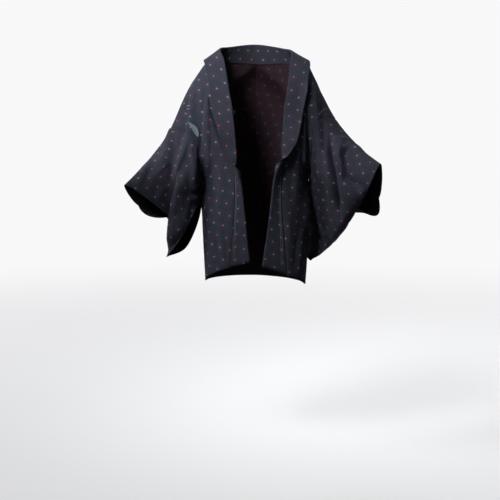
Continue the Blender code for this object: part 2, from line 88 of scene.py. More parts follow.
# how fine the grids are
ROWS = 8
SEAM_ROWS = SIDE_SEAM * ROWS
ARM_ROWS = (SHOULDER - SIDE_SEAM) * ROWS
PANEL_COLUMNS = 76
GUSSET_COLUMNS = 12
SLEEVE_COLUMNS = 84
SLEEVE_HANG = 64
COLLAR_STEPS = (20, 10, 22)

# how thick the cloth is
CLOTH_WALL = 1.2
COLLAR_WALL = 1.8
HEM_WALL = 2.0
print("grid rows in a panel:", 2 * SHOULDER * ROWS + 1)

# %% [markdown]
# ## Collar table
# The collar is sewn to the panels along one edge, stands up, and folds over. Each row gives a
# station, a point on the sewn seam, a point on the crease, how far the free half has turned over,
# and its width. At 177 degrees it is folded flat to the outside. Near the waist the fold twists
# over to the inside, which is what a real haori does when nothing holds the collar down.

# %% Collar table
COLLAR_RIGHT = (
    (0.0, -86, -121, -722, -20, -135, -705, -118, 62),
    (1.0, -80, -125, -640, -30, -135, -615, -122, 62),
    (2.0, -72, -125, -535, -40, -140, -519, -132, 62),
    (3.0, -69, -124, -457, -51, -150, -442, -156, 56),
    (3.6, -69, -123, -428, -59, -157, -420, -152, 26),
    (4.0, -70, -122, -408, -66, -158, -402, -84, 8),
    (4.3, -73, -121, -392, -66, -157, -388, 8, 8),
    (4.6, -78, -119, -373, -63, -155, -370, 92, 15),
    (5.0, -86, -117, -350, -62, -150, -348, 124, 27),
    (6.0, -108, -112, -300, -66, -133, -303, 142, 46),
    (7.0, -136, -93, -192, -77, -110, -199, 174, 62),
    (8.0, -152, -76, -130, -89, -88, -130, 177, 62),
    (9.0, -157, -38, -60, -104, -44, -42, 177, 62),
    (10.0, -157, 0, -33, -117, 2, -2, 177, 60),
)
COLLAR_LEFT = (
    (0.0, 105, -120, -747, 21, -136, -719, -118, 62),
    (1.0, 97, -122, -640, 36, -135, -618, -122, 62),
    (2.0, 87, -122, -525, 49, -140, -519, -132, 62),
    (3.0, 84, -121, -450, 59, -150, -440, -156, 57),
    (4.0, 84, -120, -405, 71, -158, -396, -154, 28),
    (4.35, 86, -119, -386, 79, -158, -380, -122, 10),
    (4.65, 90, -118, -370, 83, -156, -366, -30, 8),
    (5.0, 96, -116, -350, 83, -151, -350, 92, 17),
    (5.5, 108, -113, -320, 83, -141, -320, 130, 36),
    (6.0, 122, -110, -290, 85, -131, -290, 144, 50),
    (7.0, 150, -92, -192, 92, -111, -199, 174, 62),
    (8.0, 163, -76, -130, 104, -89, -130, 177, 62),
    (9.0, 170, -42, -70, 113, -46, -60, 177, 62),
    (10.0, 170, 0, -42, 118, 2, -12, 177, 60),
)
COLLAR_NECK = (
    (11.0, -118, 54, -37, -88, 44, 9, 177, 58),
    (12.0, 0, 82, -45, 0, 70, 20, 177, 58),
    (13.0, 124, 54, -43, 90, 44, 4, 177, 58),
)

# %% [markdown]
# ## Panel tables
# The outer edge of each panel, from the shoulder fold down: six stations round the armhole, then
# the side seam to the hem. After the point come two shares that say how the line from collar to
# edge bends over the body and how it dips, and how far its middle bellies out.

# %% Panel tables
FRONT_RIGHT = (
    (-283, -20, -265, 0.30, 0.30, 0),
    (-237, -57, -270, 0.30, 0.20, 10),
    (-196, -84, -300, 0.30, 0.20, 14),
    (-181, -88, -358, 0.35, 0.20, 14),
    (-178, -64, -416, 0.55, 0.20, 10),
    (-178, -20, -470, 0.80, 0.20, 6),
    (-180, -22, -515, 0.90, 0.25, 2),
    (-180, -26, -560, 0.90, 0.30, 0),
    (-179, -31, -620, 0.90, 0.32, 0),
    (-175, -36, -700, 0.90, 0.35, 0),
    (-171, -40, -776, 0.90, 0.40, 0),
)
FRONT_LEFT = (
    (266, -20, -235, 0.00, 0.00, 0),
    (220, -60, -228, 0.10, 0.05, 8),
    (185, -84, -267, 0.25, 0.15, 12),
    (180, -92, -328, 0.35, 0.20, 14),
    (178, -78, -388, 0.55, 0.20, 10),
    (178, -22, -444, 0.80, 0.20, 6),
    (180, -22, -495, 0.90, 0.25, 2),
    (180, -26, -550, 0.90, 0.30, 0),
    (178, -31, -620, 0.90, 0.32, 0),
    (172, -36, -705, 0.90, 0.35, 0),
    (167, -40, -788, 0.90, 0.40, 0),
)
BACK_RIGHT = (
    (-283, -20, -265, 0.30, 0.30, 0),
    (-240, 24, -268, 0.35, 0.30, 10),
    (-204, 58, -296, 0.45, 0.30, 14),
    (-186, 72, -350, 0.60, 0.35, 16),
    (-181, 58, -412, 0.75, 0.35, 12),
    (-180, 22, -470, 0.85, 0.35, 6),
    (-182, 26, -520, 0.88, 0.30, 0),
    (-181, 30, -585, 0.88, 0.25, 0),
    (-178, 33, -655, 0.88, 0.15, 0),
    (-174, 35, -722, 0.88, 0.05, 0),
    (-170, 36, -784, 0.88, 0.00, 0),
)
BACK_LEFT = (
    (266, -20, -235, 0.00, 0.00, 0),
    (226, 24, -232, 0.15, 0.10, 10),
    (196, 58, -264, 0.40, 0.25, 14),
    (185, 72, -322, 0.60, 0.35, 16),
    (180, 58, -384, 0.75, 0.35, 12),
    (180, 22, -440, 0.85, 0.35, 6),
    (181, 26, -500, 0.88, 0.30, 0),
    (180, 30, -575, 0.88, 0.25, 0),
    (177, 33, -650, 0.88, 0.15, 0),
    (171, 35, -722, 0.88, 0.05, 0),
    (166, 36, -796, 0.88, 0.00, 0),
)
CENTRE_BACK = (
    (82, -45), (128, -108), (160, -205), (181, -310), (193, -410),
    (200, -510), (204, -610), (206, -705), (207, -790),
)

# %% [markdown]
# ## Sleeve tables
# A haori sleeve is a flat bag, folded along the top and sewn at the bottom and below the cuff. The
# arm turns the bag, so its inner corner swings away and its open inner edges gape. Ten lines go
# once round the bag, each with its points from the body out to the cuff. On the right, the strip
# beside the body laps over the forearm's part at the fourth point. `SAG` is how far the back of
# each sleeve hangs out at the cuff.

# %% Sleeve tables
SLEEVES = {
    "right": (
        # bottom seam
        ((-298, -60, -693), (-301, -40, -694), (-302, -14, -693), (-298, 18, -691), (-288, 56, -686),
         (-266, 104, -676), (-236, 150, -660)),
        # front, from the bottom up
        ((-244, -92, -619), (-262, -98, -621), (-282, -98, -624), (-298, -82, -629), (-297, -42, -634),
         (-292, 20, -636), (-276, 84, -632)),
        ((-202, -87, -535), (-228, -106, -541), (-258, -114, -550), (-291, -106, -565),
         (-286, -72, -575), (-290, -38, -586), (-292, 6, -594)),
        ((-178, -20, -470), (-204, -84, -476), (-242, -122, -486), (-281, -126, -502),
         (-266, -98, -512), (-274, -86, -536), (-290, -90, -555)),
        ((-187, -88, -330), (-208, -104, -347), (-234, -119, -368), (-254, -124, -386),
         (-276, -120, -404), (-314, -128, -440), (-365, -158, -484)),
        # top fold
        ((-283, -20, -265), (-304, -36, -298), (-330, -58, -332), (-354, -84, -363),
         (-378, -115, -391), (-402, -151, -418), (-427, -190, -444)),
        # back, from the top down
        ((-192, 72, -330), (-222, 62, -360), (-256, 38, -394), (-294, 2, -428), (-328, -40, -460),
         (-360, -84, -490), (-388, -128, -515)),
        ((-180, 22, -470), (-204, 52, -492), (-232, 62, -514), (-262, 56, -536), (-290, 20, -556),
         (-302, -34, -562), (-290, -90, -555)),
        ((-195, 33, -577), (-208, 64, -580), (-228, 90, -586), (-254, 104, -592), (-278, 92, -598),
         (-294, 54, -600), (-292, 6, -594)),
        ((-239, 26, -671), (-236, 56, -664), (-234, 90, -656), (-240, 124, -648), (-254, 140, -642),
         (-268, 120, -636), (-276, 84, -632)),
    ),
    "left": (
        # bottom seam
        ((140, 185, -632), (150, 158, -668), (165, 122, -694), (178, 78, -708), (190, 35, -717)),
        # front, from the bottom up
        ((179, 120, -580), (198, 58, -616), (218, 16, -642), (232, -18, -660), (245, -34, -665)),
        ((185, 40, -520), (210, -28, -548), (240, -66, -574), (268, -88, -592), (294, -85, -602)),
        ((178, -22, -444), (222, -88, -478), (268, -120, -508), (306, -134, -524), (336, -130, -525)),
        ((180, -88, -335), (232, -122, -375), (282, -150, -412), (328, -172, -440), (365, -185, -452)),
        # top fold
        ((266, -20, -235), (308, -58, -286), (339, -108, -323), (370, -163, -351), (400, -220, -375)),
        # back, from the top down
        ((188, 72, -330), (246, 28, -372), (305, -30, -412), (360, -84, -454), (405, -130, -490)),
        ((180, 22, -440), (228, 24, -490), (272, -10, -530), (312, -60, -545), (336, -130, -525)),
        ((186, 78, -500), (222, 50, -548), (254, 10, -584), (280, -34, -604), (294, -85, -602)),
        ((176, 150, -560), (200, 110, -606), (222, 62, -642), (238, 12, -664), (245, -34, -665)),
    ),
}
SAG = {"right": (-14, 4, -16), "left": (26, 38, -42)}

# %% [markdown]
# ## Curves
# A handful of small functions does all the geometry: a smooth curve through table rows, a soft
# step, and distances along a grid, which give every point its place on the flat cloth.

# %% Curves
def hermite(a, b, leaving, arriving, t):
    """From a to b with a given run at either end; t goes from 0 to 1."""
    return ((2 * t**3 - 3 * t**2 + 1) * a + (t**3 - 2 * t**2 + t) * leaving
            + (3 * t**2 - 2 * t**3) * b + (t**3 - t**2) * arriving)


def spline(points, places):
    """Points on a smooth curve through the given points; place 0 is the first, 1 the second."""
    points = np.asarray(points, float)
    slopes = np.gradient(points, axis=0)
    places = np.clip(np.asarray(places, float), 0, len(points) - 1)
    start = np.minimum(places.astype(int), len(points) - 2)
    t = (places - start).reshape((-1,) + (1,) * (points.ndim - 1))
    return hermite(points[start], points[start + 1], slopes[start], slopes[start + 1], t)


def stations(first, last):
    """A number for each grid row between two stations."""
    return np.linspace(first, last, (last - first) * ROWS + 1)


def soft(t):
    """A step from 0 to 1 that starts and ends gently."""
    t = np.clip(t, 0, 1)
    return t * t * (3 - 2 * t)


def unit(vectors):
    """The same directions, each one long."""
    return vectors / np.maximum(np.linalg.norm(vectors, axis=-1, keepdims=True), 1e-9)


def lengths(grid, axis):
    """Distance walked along an axis of a grid of points, from its first row or column."""
    steps = np.linalg.norm(np.diff(grid, axis=axis), axis=2)
    zero = np.zeros_like(np.take(steps, [0], axis=axis))
    return np.concatenate([zero, np.cumsum(steps, axis=axis)], axis=axis)


# %% [markdown]
# ## Laying the pattern straight
# Cloth bends but hardly stretches, so the flat layout has to keep every distance of the hanging
# form. Arc lengths along rows and columns give a first layout. `ease_flat` then cuts a coarse net
# of the points into stiff triangles, turns each one to fit the layout as it stands, and moves the
# points to where their triangles agree best, a few times over. Blender's unwrap would do it too,
# but would lose the grain direction.

# %% Stiff triangles
FIRMNESS = (0.1, 4)


def stiff_triangles(points, triangles, hand):
    """Each triangle drawn flat at its true size, and how firmly each of its sides holds."""
    p = points[triangles]
    side, other = p[:, 1] - p[:, 0], p[:, 2] - p[:, 0]
    base = np.maximum(np.linalg.norm(side, axis=1), 1e-6)
    drawn = np.zeros((len(triangles), 3, 2))
    drawn[:, 1, 0] = base
    drawn[:, 2, 0] = (side * other).sum(axis=1) / base
    drawn[:, 2, 1] = np.linalg.norm(np.cross(side, other), axis=1) / base * hand
    firm = np.empty((len(triangles), 3))
    for k in range(3):
        u, v = drawn[:, k] - drawn[:, k - 1], drawn[:, (k + 1) % 3] - drawn[:, k - 1]
        area = np.abs(u[:, 0] * v[:, 1] - u[:, 1] * v[:, 0])
        firm[:, k] = np.clip((u * v).sum(axis=1) / np.maximum(area, 1e-9), *FIRMNESS)
    return drawn, firm[:, :, None]


# %% Easing the flat layout
NET_STEP = 4
EASING_TURNS = 40
HOLD = 1e-4


def ease_flat(grid, flat):
    """The flat layout, in metres, with each distance as near as it gets to the hanging form's."""
    keep_rows, keep_columns = (np.unique(np.r_[np.arange(0, n, NET_STEP), n - 1])
                               for n in grid.shape[:2])
    net = np.ix_(keep_rows, keep_columns)
    first = flat[net].reshape(-1, 2)
    number = np.arange(len(first)).reshape(len(keep_rows), len(keep_columns))
    a, b, c, d = number[:-1, :-1], number[1:, :-1], number[1:, 1:], number[:-1, 1:]
    triangles = np.concatenate([np.stack(k, -1).reshape(-1, 3) for k in ((a, b, c), (a, c, d))])
    u, v = (first[triangles[:, k]] - first[triangles[:, 0]] for k in (1, 2))
    hand = np.sign((u[:, 0] * v[:, 1] - u[:, 1] * v[:, 0]).sum())
    drawn, firm = stiff_triangles(grid[net].reshape(-1, 3) * MM, triangles, hand)
    ends = np.roll(triangles, -1, axis=1)
    sides = drawn - np.roll(drawn, -1, axis=1)
    ties = np.eye(len(first)) * HOLD
    for one, two, sign in ((triangles, triangles, 1), (ends, ends, 1), (triangles, ends, -1),
                           (ends, triangles, -1)):
        np.add.at(ties, (one, two), sign * firm[:, :, 0])
    answer = np.linalg.inv(ties)
    here = first.copy()
    x, y = sides[:, :, 0], sides[:, :, 1]
    for _ in range(EASING_TURNS):
        now = here[triangles] - here[ends]
        cosine = (firm * now * sides).sum(axis=(1, 2))
        sine = (firm[:, :, 0] * (x * now[:, :, 1] - y * now[:, :, 0])).sum(axis=1)
        size = np.maximum(np.hypot(cosine, sine), 1e-12)
        cosine, sine = (cosine / size)[:, None], (sine / size)[:, None]
        turned = np.stack([cosine * x - sine * y, sine * x + cosine * y], axis=2) * firm
        pull = first * HOLD
        np.add.at(pull, triangles, turned)
        np.add.at(pull, ends, -turned)
        here = answer @ pull
    shift = (here - first).reshape(len(keep_rows), len(keep_columns), 2)
    for axis, kept in enumerate((keep_rows, keep_columns)):
        every = np.arange(grid.shape[axis])
        shift = np.apply_along_axis(lambda line: np.interp(every, kept, line), axis, shift)
    return flat + shift


# %% [markdown]
# ## A strip of cloth
# `Cloth` holds one cut piece: its middle surface, the quads between the points, and each corner's
# place on the flat cloth, which becomes the UV map, so the woven pattern keeps its true size.
# A Solidify modifier could add the thickness, but doing it here lets two pieces share the same
# rim direction along a seam, and lets hems be thicker than the cloth.

# %% Cloth
SHARPEST = 0.4


class Cloth:
    def __init__(self, grid, flat, flip=False, ring=False, zipped=()):
        """A ring's last row joins its first; zipped rows share their last point with the far side."""
        rows, columns = grid.shape[:2]
        self.shape = (rows, columns)
        self.index = np.arange(rows * columns).reshape(rows, columns)
        for k in zipped:
            self.index[rows - k, -1] = self.index[k, -1]
        self.points = grid.reshape(-1, 3).copy()
        i, j = np.meshgrid(np.arange(rows if ring else rows - 1), np.arange(columns - 1),
                           indexing="ij")
        corners = ((i, j), (i + 1, j), (i + 1, j + 1), (i, j + 1))
        if flip:
            corners = corners[::-1]
        self.quads = np.stack([self.index[a % rows, b] for a, b in corners], -1).reshape(-1, 4)
        self.flat = np.stack([flat[a, b] for a, b in corners], 2).reshape(-1, 4, 2)
        self.find_normals()

    def find_normals(self):
        """Which way each point faces, and how much further out a sharp bend pushes the skins."""
        p = self.points[self.quads]
        facing = np.cross(p[:, 2] - p[:, 0], p[:, 3] - p[:, 1])
        total = np.zeros_like(self.points)
        for k in range(4):
            np.add.at(total, self.quads[:, k], facing)
        self.normals = unit(total)
        least = np.ones(len(total))
        facing = unit(facing)
        for k in range(4):
            dots = (self.normals[self.quads[:, k]] * facing).sum(axis=1)
            np.minimum.at(least, self.quads[:, k], dots)
        self.reach = 1 / np.clip(least, SHARPEST, 1)

    def at(self, row, column):
        """Point and facing at a place between the grid's points."""
        r, c = min(int(row), self.shape[0] - 2), min(int(column), self.shape[1] - 2)
        t, u = row - r, column - c
        total = np.zeros(6)
        for i, j, share in ((r, c, (1 - t) * (1 - u)), (r + 1, c, t * (1 - u)),
                            (r, c + 1, (1 - t) * u), (r + 1, c + 1, t * u)):
            k = self.index[i, j]
            total += share * np.concatenate([self.points[k], self.normals[k]])
        return total[:3], unit(total[3:])

    def open_edges(self):
        """Directed edges with a face on one side only."""
        a = self.quads.reshape(-1)
        b = np.roll(self.quads, -1, axis=1).reshape(-1)
        size = len(self.points)
        alone = ~np.isin(a * size + b, b * size + a)
        return a[alone], b[alone]


# %% [markdown]
# ## Seams
# The collar's sewn edge is worked out first, because the panels start from it. Each panel then
# knows its inner edge, from the centre back round the neck and down the front, and its outer edge,
# round the armhole and down the side.

# %% Seam lines
def collar_lines():
    """Sewn seam, crease, turn and free width, from the right hem round the neck to the left."""
    left = [(2 * NAPE - row[0],) + row[1:] for row in COLLAR_LEFT[::-1]]
    table = np.array(list(COLLAR_RIGHT + COLLAR_NECK) + left, float)
    places = np.interp(stations(0, 2 * NAPE), table[:, 0], np.arange(len(table)))
    rows = spline(table[:, 1:], places)
    return rows[:, :3], rows[:, 3:6], rows[:, 6], rows[:, 7]


def body_edges(side):
    """Rows from the back hem over the shoulder to the front hem: inner edge, outer edge."""
    front, back = (FRONT_RIGHT, BACK_RIGHT) if side == "right" else (FRONT_LEFT, BACK_LEFT)
    outer = spline(np.array(back[:0:-1] + front, float), stations(0, 2 * SHOULDER))
    seam = collar_lines()[0]
    if side == "left":
        seam = seam[::-1]
    centre = spline([(0, y, z) for y, z in CENTRE_BACK], stations(0, len(CENTRE_BACK) - 1))
    inner = np.vstack([centre[:0:-1], seam[:NAPE * ROWS + 1][::-1]])
    return inner, outer


print("collar seam, mm:", round(float(lengths(collar_lines()[0][None], 1)[0, -1])))

# %% [markdown]
# ## Collar
# A strip folded lengthwise. The section at each row is drawn flat half, round turn, free half, so
# the crease is a real bend of the cloth and not a sharp line.

# %% Collar
COLLAR_TURN = 3.2


def collar_cloth():
    seam, crease, turn, free_width = collar_lines()
    along = unit(np.gradient((seam + crease) / 2, axis=0))
    width = np.linalg.norm(crease - seam, axis=1)
    across = unit(crease - seam)
    out = unit(np.cross(across, along))
    sewn, bend, free = COLLAR_STEPS
    grid = []
    for k in range(len(seam)):
        angle = math.radians(turn[k])
        side = math.copysign(1.0, angle)
        reach = width[k] - COLLAR_TURN
        line = [seam[k] + across[k] * reach * step / (sewn - 1) for step in range(sewn)]
        hub = line[-1] + out[k] * COLLAR_TURN * side
        for step in range(1, bend + 1):
            turned = angle * step / bend
            spoke = across[k] * math.sin(abs(turned)) - out[k] * side * math.cos(turned)
            line.append(hub + spoke * COLLAR_TURN)
        ahead = across[k] * math.cos(angle) + out[k] * math.sin(angle)
        last = line[-1]
        line += [last + ahead * free_width[k] * step / free for step in range(1, free + 1)]
        grid.append(line)
    grid = np.array(grid)
    down = lengths(grid[:, :1], 0)
    flat = np.stack([lengths(grid, 1) * MM, np.broadcast_to(down, grid.shape[:2]) * MM], axis=2)
    return Cloth(grid, flat, flip=True)


collar = collar_cloth()
print("collar points:", len(collar.points))

# %% [markdown]
# ## Body panels and gussets
# Each panel is one length of cloth over the shoulder. A row runs from the inner edge to the outer
# edge and bends like a quarter of an ellipse, which is how cloth rolls over a shoulder and round
# a hip. A gusset is the narrow strip between the front's and the back's side seams.

# %% Body panels
def line_across(inner, outer, bend, dip, belly, push):
    """Rows of points from the inner edge to the outer edge, bent over the body."""
    t = np.linspace(0, 1, PANEL_COLUMNS)[None, :]
    swing, drop = np.sin(t * math.pi / 2), 1 - np.cos(t * math.pi / 2)
    bend, dip, belly = bend[:, None], dip[:, None], belly[:, None]
    x = inner[:, :1] + (outer - inner)[:, :1] * (t + bend * (swing - t))
    y = inner[:, 1:2] + (outer - inner)[:, 1:2] * (t + bend * (drop - t))
    z = inner[:, 2:] + (outer - inner)[:, 2:] * (t + dip * (drop - t))
    return np.stack([x, y + push * belly * np.sin(t * math.pi), z], axis=2)


def body_cloth(side):
    inner, outer = body_edges(side)
    fold = SHOULDER * ROWS
    push = np.where(np.arange(len(outer)) < fold, 1.0, -1.0)[:, None]
    grid = line_across(inner, outer[:, :3], outer[:, 3], outer[:, 4], outer[:, 5], push)
    across = lengths(grid, 1)
    down = lengths(grid, 0)
    flat = np.stack([HALF_BOLT - (across[:, -1:] - across) * MM,
                     (down - down[fold]) * MM], axis=2)
    return Cloth(grid, ease_flat(grid, flat), flip=side == "right")


# %% Gussets
GUSSET_BOW = 2
GUSSET_GRAIN = 0.3


def gusset_cloth(side):
    edge = body_edges(side)[1][:, :3]
    back, front = edge[:SEAM_ROWS + 1][::-1], edge[-SEAM_ROWS - 1:]
    t = np.linspace(0, 1, GUSSET_COLUMNS)[None, :, None]
    grid = front[:, None] * (1 - t) + back[:, None] * t
    grid[:, :, 0] += np.sin(t[:, :, 0] * math.pi) * (GUSSET_BOW if side == "left" else -GUSSET_BOW)
    flat = np.stack([lengths(grid, 1) * MM, lengths(grid, 0) * MM + GUSSET_GRAIN], axis=2)
    return Cloth(grid, flat, flip=side == "right")


# %% [markdown]
# ## Sleeves
# The bag is a stack of rings. Each ring starts at the bottom seam, climbs the front, passes over
# the arm and comes down the back. Below the cuff the last points of front and back are one and
# the same, which sews the bag shut there and leaves the mouth open above.

# %% Sleeves
LINES_ROUND = 10
UNDERARM_FRONT = 3
UNDERARM_BACK = LINES_ROUND - UNDERARM_FRONT
FOOT_CLEARANCE = 1.2
SIDE_CLEARANCE = 2.6
CLEARANCE_RISE = 0.5


def sleeve_cloth(side):
    lines = np.array(SLEEVES[side] + SLEEVES[side][:1], float)
    below = np.linspace(0, UNDERARM_FRONT, SLEEVE_HANG + 1)
    places = np.concatenate([
        below, np.linspace(UNDERARM_FRONT, UNDERARM_BACK, 2 * ARM_ROWS + 1)[1:],
        LINES_ROUND - below[::-1][1:]])
    grid = spline(lines, places)
    across = np.linspace(0, grid.shape[1] - 1, SLEEVE_COLUMNS)
    grid = spline(grid.transpose(1, 0, 2), across).transpose(1, 0, 2)
    along = np.linspace(0, 1, SLEEVE_COLUMNS)[None, :, None]
    slack = np.sin(np.clip(places - UNDERARM_BACK + 1, 0, 1) * math.pi)[:, None, None]
    grid = grid + slack * along**3 * np.array(SAG[side], float)
    armhole = body_edges(side)[1][SEAM_ROWS:-SEAM_ROWS, :3][::-1]
    sewn = slice(SLEEVE_HANG, SLEEVE_HANG + len(armhole))
    off = np.zeros((len(places), 3))
    off[sewn] = armhole - grid[sewn, 0]
    grid = grid + off[:, None] * (1 - along)**2
    depth = np.maximum(UNDERARM_FRONT - places, places - UNDERARM_BACK)
    stand = np.where(depth < 0, 0, FOOT_CLEARANCE + (SIDE_CLEARANCE - FOOT_CLEARANCE)
                     * soft(depth / CLEARANCE_RISE))[:, None]
    outwards = -1.0 if side == "right" else 1.0
    grid[:, :, 0] += outwards * stand * (1 - along[:, :, 0])**2
    down = lengths(grid, 0)
    flat = np.stack([HALF_BOLT + lengths(grid, 1) * MM,
                     (down - down[SLEEVE_HANG + ARM_ROWS]) * MM], axis=2)
    flat = ease_flat(grid, flat)
    rings = len(places) - 1
    zipped = range(1, SLEEVE_HANG + 1)
    for k in zipped:
        grid[k, -1] = (grid[k, -1] + grid[rings - k, -1]) / 2
    cloth = Cloth(grid[:rings], flat, flip=side == "left", ring=True, zipped=zipped)
    cloth.places = places[:rings]
    return cloth


# %% [markdown]
# ## Putting the strips together
# Where two pieces are sewn, their points take one shared direction before the folds are laid, so
# both rise and dip together. The panels meet the collar round the neck and each other down the
# centre back, the sleeve at the armhole, and the gusset along both side seams.

# %% Pieces
def sew(*edges):
    """Gives pieces the same points' direction along a seam, so that they fold as one."""
    shared = unit(sum(piece.normals[edge] for piece, edge in edges))
    for piece, edge in edges:
        piece.normals[edge] = shared


def sew_all():
    """Every seam of the coat, after the pieces' own directions were worked out anew."""
    for side in SIDES:
        body, gusset, sleeve = bodies[side], gussets[side], sleeves[side]
        neck = collar.index[:, 0] if side == "right" else collar.index[::-1, 0]
        neck = neck[:NAPE * ROWS + 1][::-1]
        first = len(body.index) - len(neck)
        sew((body, body.index[first:, 0]), (collar, neck))
        middle = body.index[:first + 1, 0]
        body.normals[middle] = unit(body.normals[middle] * (0, 1, 1))
        armhole = body.index[SEAM_ROWS:-SEAM_ROWS, -1][::-1]
        hole = sleeve.index[SLEEVE_HANG:SLEEVE_HANG + len(armhole), 0]
        sew((body, armhole[1:-1]), (sleeve, hole[1:-1]))
        sew((body, body.index[:SEAM_ROWS + 1, -1][::-1]), (gusset, gusset.index[:, -1]))
        sew((body, body.index[-SEAM_ROWS - 1:, -1]), (gusset, gusset.index[:, 0]))


bodies, gussets, sleeves = ({side: make(side) for side in SIDES}
                            for make in (body_cloth, gusset_cloth, sleeve_cloth))
sew_all()
print("points:", sum(len(p.points) for p in [collar, *bodies.values(), *sleeves.values()]))

# %% [markdown]
# ## Easing the armhole
# The armhole seam of a worn haori lies well down the upper arm, so there the shoulder runs on into
# the sleeve with no step. Sculpting could smooth it. Here each row near the top is drawn again as
# one smooth curve across the seam, and less so further down.

# %% Easing the armhole
EASED_BODY = 18
EASED_SLEEVE = 26
EASED_FULL = 1.8
EASED_END = 4.4
EASED_SHARE = 0.95


def ease_armhole(body, sleeve):
    """Near the shoulder the panel runs on into the sleeve without a dip at the seam."""
    for k in range(2 * ARM_ROWS + 1):
        away = abs(k - ARM_ROWS) / ROWS
        share = EASED_SHARE * soft((EASED_END - away) / (EASED_END - EASED_FULL))
        if share <= 0:
            continue
        near = body.index[-1 - SEAM_ROWS - k, -EASED_BODY:]
        far = sleeve.index[SLEEVE_HANG + k, 1:EASED_SLEEVE]
        line = np.vstack([body.points[near], sleeve.points[far]])
        walked = lengths(line[None], 1)[0]
        a, b = line[0], line[-1]
        leaving, arriving = unit(line[1] - a) * walked[-1], unit(b - line[-2]) * walked[-1]
        line += share * (hermite(a, b, leaving, arriving, (walked / walked[-1])[:, None]) - line)
        body.points[near] = line[:EASED_BODY]
        sleeve.points[far] = line[EASED_BODY:]
        sleeve.points[sleeve.index[SLEEVE_HANG + k, 0]] = line[EASED_BODY - 1]


for side in SIDES:
    ease_armhole(bodies[side], sleeves[side])
    bodies[side].find_normals()
    sleeves[side].find_normals()
sew_all()

# %% [markdown]
# ## Folds
# Silk this heavy falls in long soft folds from the few places that hold it: the collar, the
# shoulder and the arm. Each fold is a row: which pieces it crosses, a path in the upright plane,
# its half width and its height in millimetres. A negative height is a trough. A cloth simulation
# could find folds of its own, but not these. Because a fold is laid by position and not by panel,
# it runs over a seam without a break.

# %% Large folds
LARGE_FRONT = (
    ("all", ((-168, -104), (-178, -185), (-186, -267), (-186, -350), (-178, -433), (-168, -499)), 14, -8),
    ("body", ((-150, -120), (-160, -202), (-162, -300), (-156, -399), (-148, -499)), 15, 4),
    ("all", ((-207, -88), (-212, -169), (-209, -251), (-203, -333), (-197, -426)), 16, 5),
    ("all", ((171, -78), (165, -153), (173, -235), (179, -333), (174, -449), (171, -549)), 14, -10),
    ("body", ((142, -251), (133, -333), (133, -433), (137, -516)), 18, 4),
    ("all", ((196, -120), (199, -235), (205, -366), (206, -499), (200, -616)), 18, 5),
    ("sleeve", ((236, -284), (248, -366), (259, -449), (269, -516), (281, -572)), 13, -8),
    ("sleeve", ((300, -300), (276, -316), (266, -346), (276, -378), (300, -402)), 12, 8),
)
LARGE_BACK = (
    ("all", ((-176, -200), (-184, -290), (-182, -370), (-172, -460)), 14, -8),
    ("all", ((172, -170), (182, -250), (184, -340), (174, -440)), 14, -8),
    ("body", ((-110, -180), (-120, -320), (-126, -480), (-122, -700)), 20, 6),
    ("body", ((-30, -160), (-36, -300), (-34, -460), (-40, -640), (-42, -780)), 18, -4),
    ("body", ((66, -170), (72, -320), (76, -500), (80, -760)), 20, 6),
    ("body", ((108, -230), (118, -360), (122, -520), (118, -740)), 16, -4),
    ("sleeve", ((-246, -330), (-262, -410), (-270, -500), (-262, -590)), 16, -6),
    ("sleeve", ((-290, -350), (-306, -430), (-312, -520)), 14, 6),
    ("sleeve", ((236, -310), (246, -400), (250, -500), (240, -590)), 16, -6),
    ("sleeve", ((282, -330), (296, -420), (300, -510)), 14, 6),
)

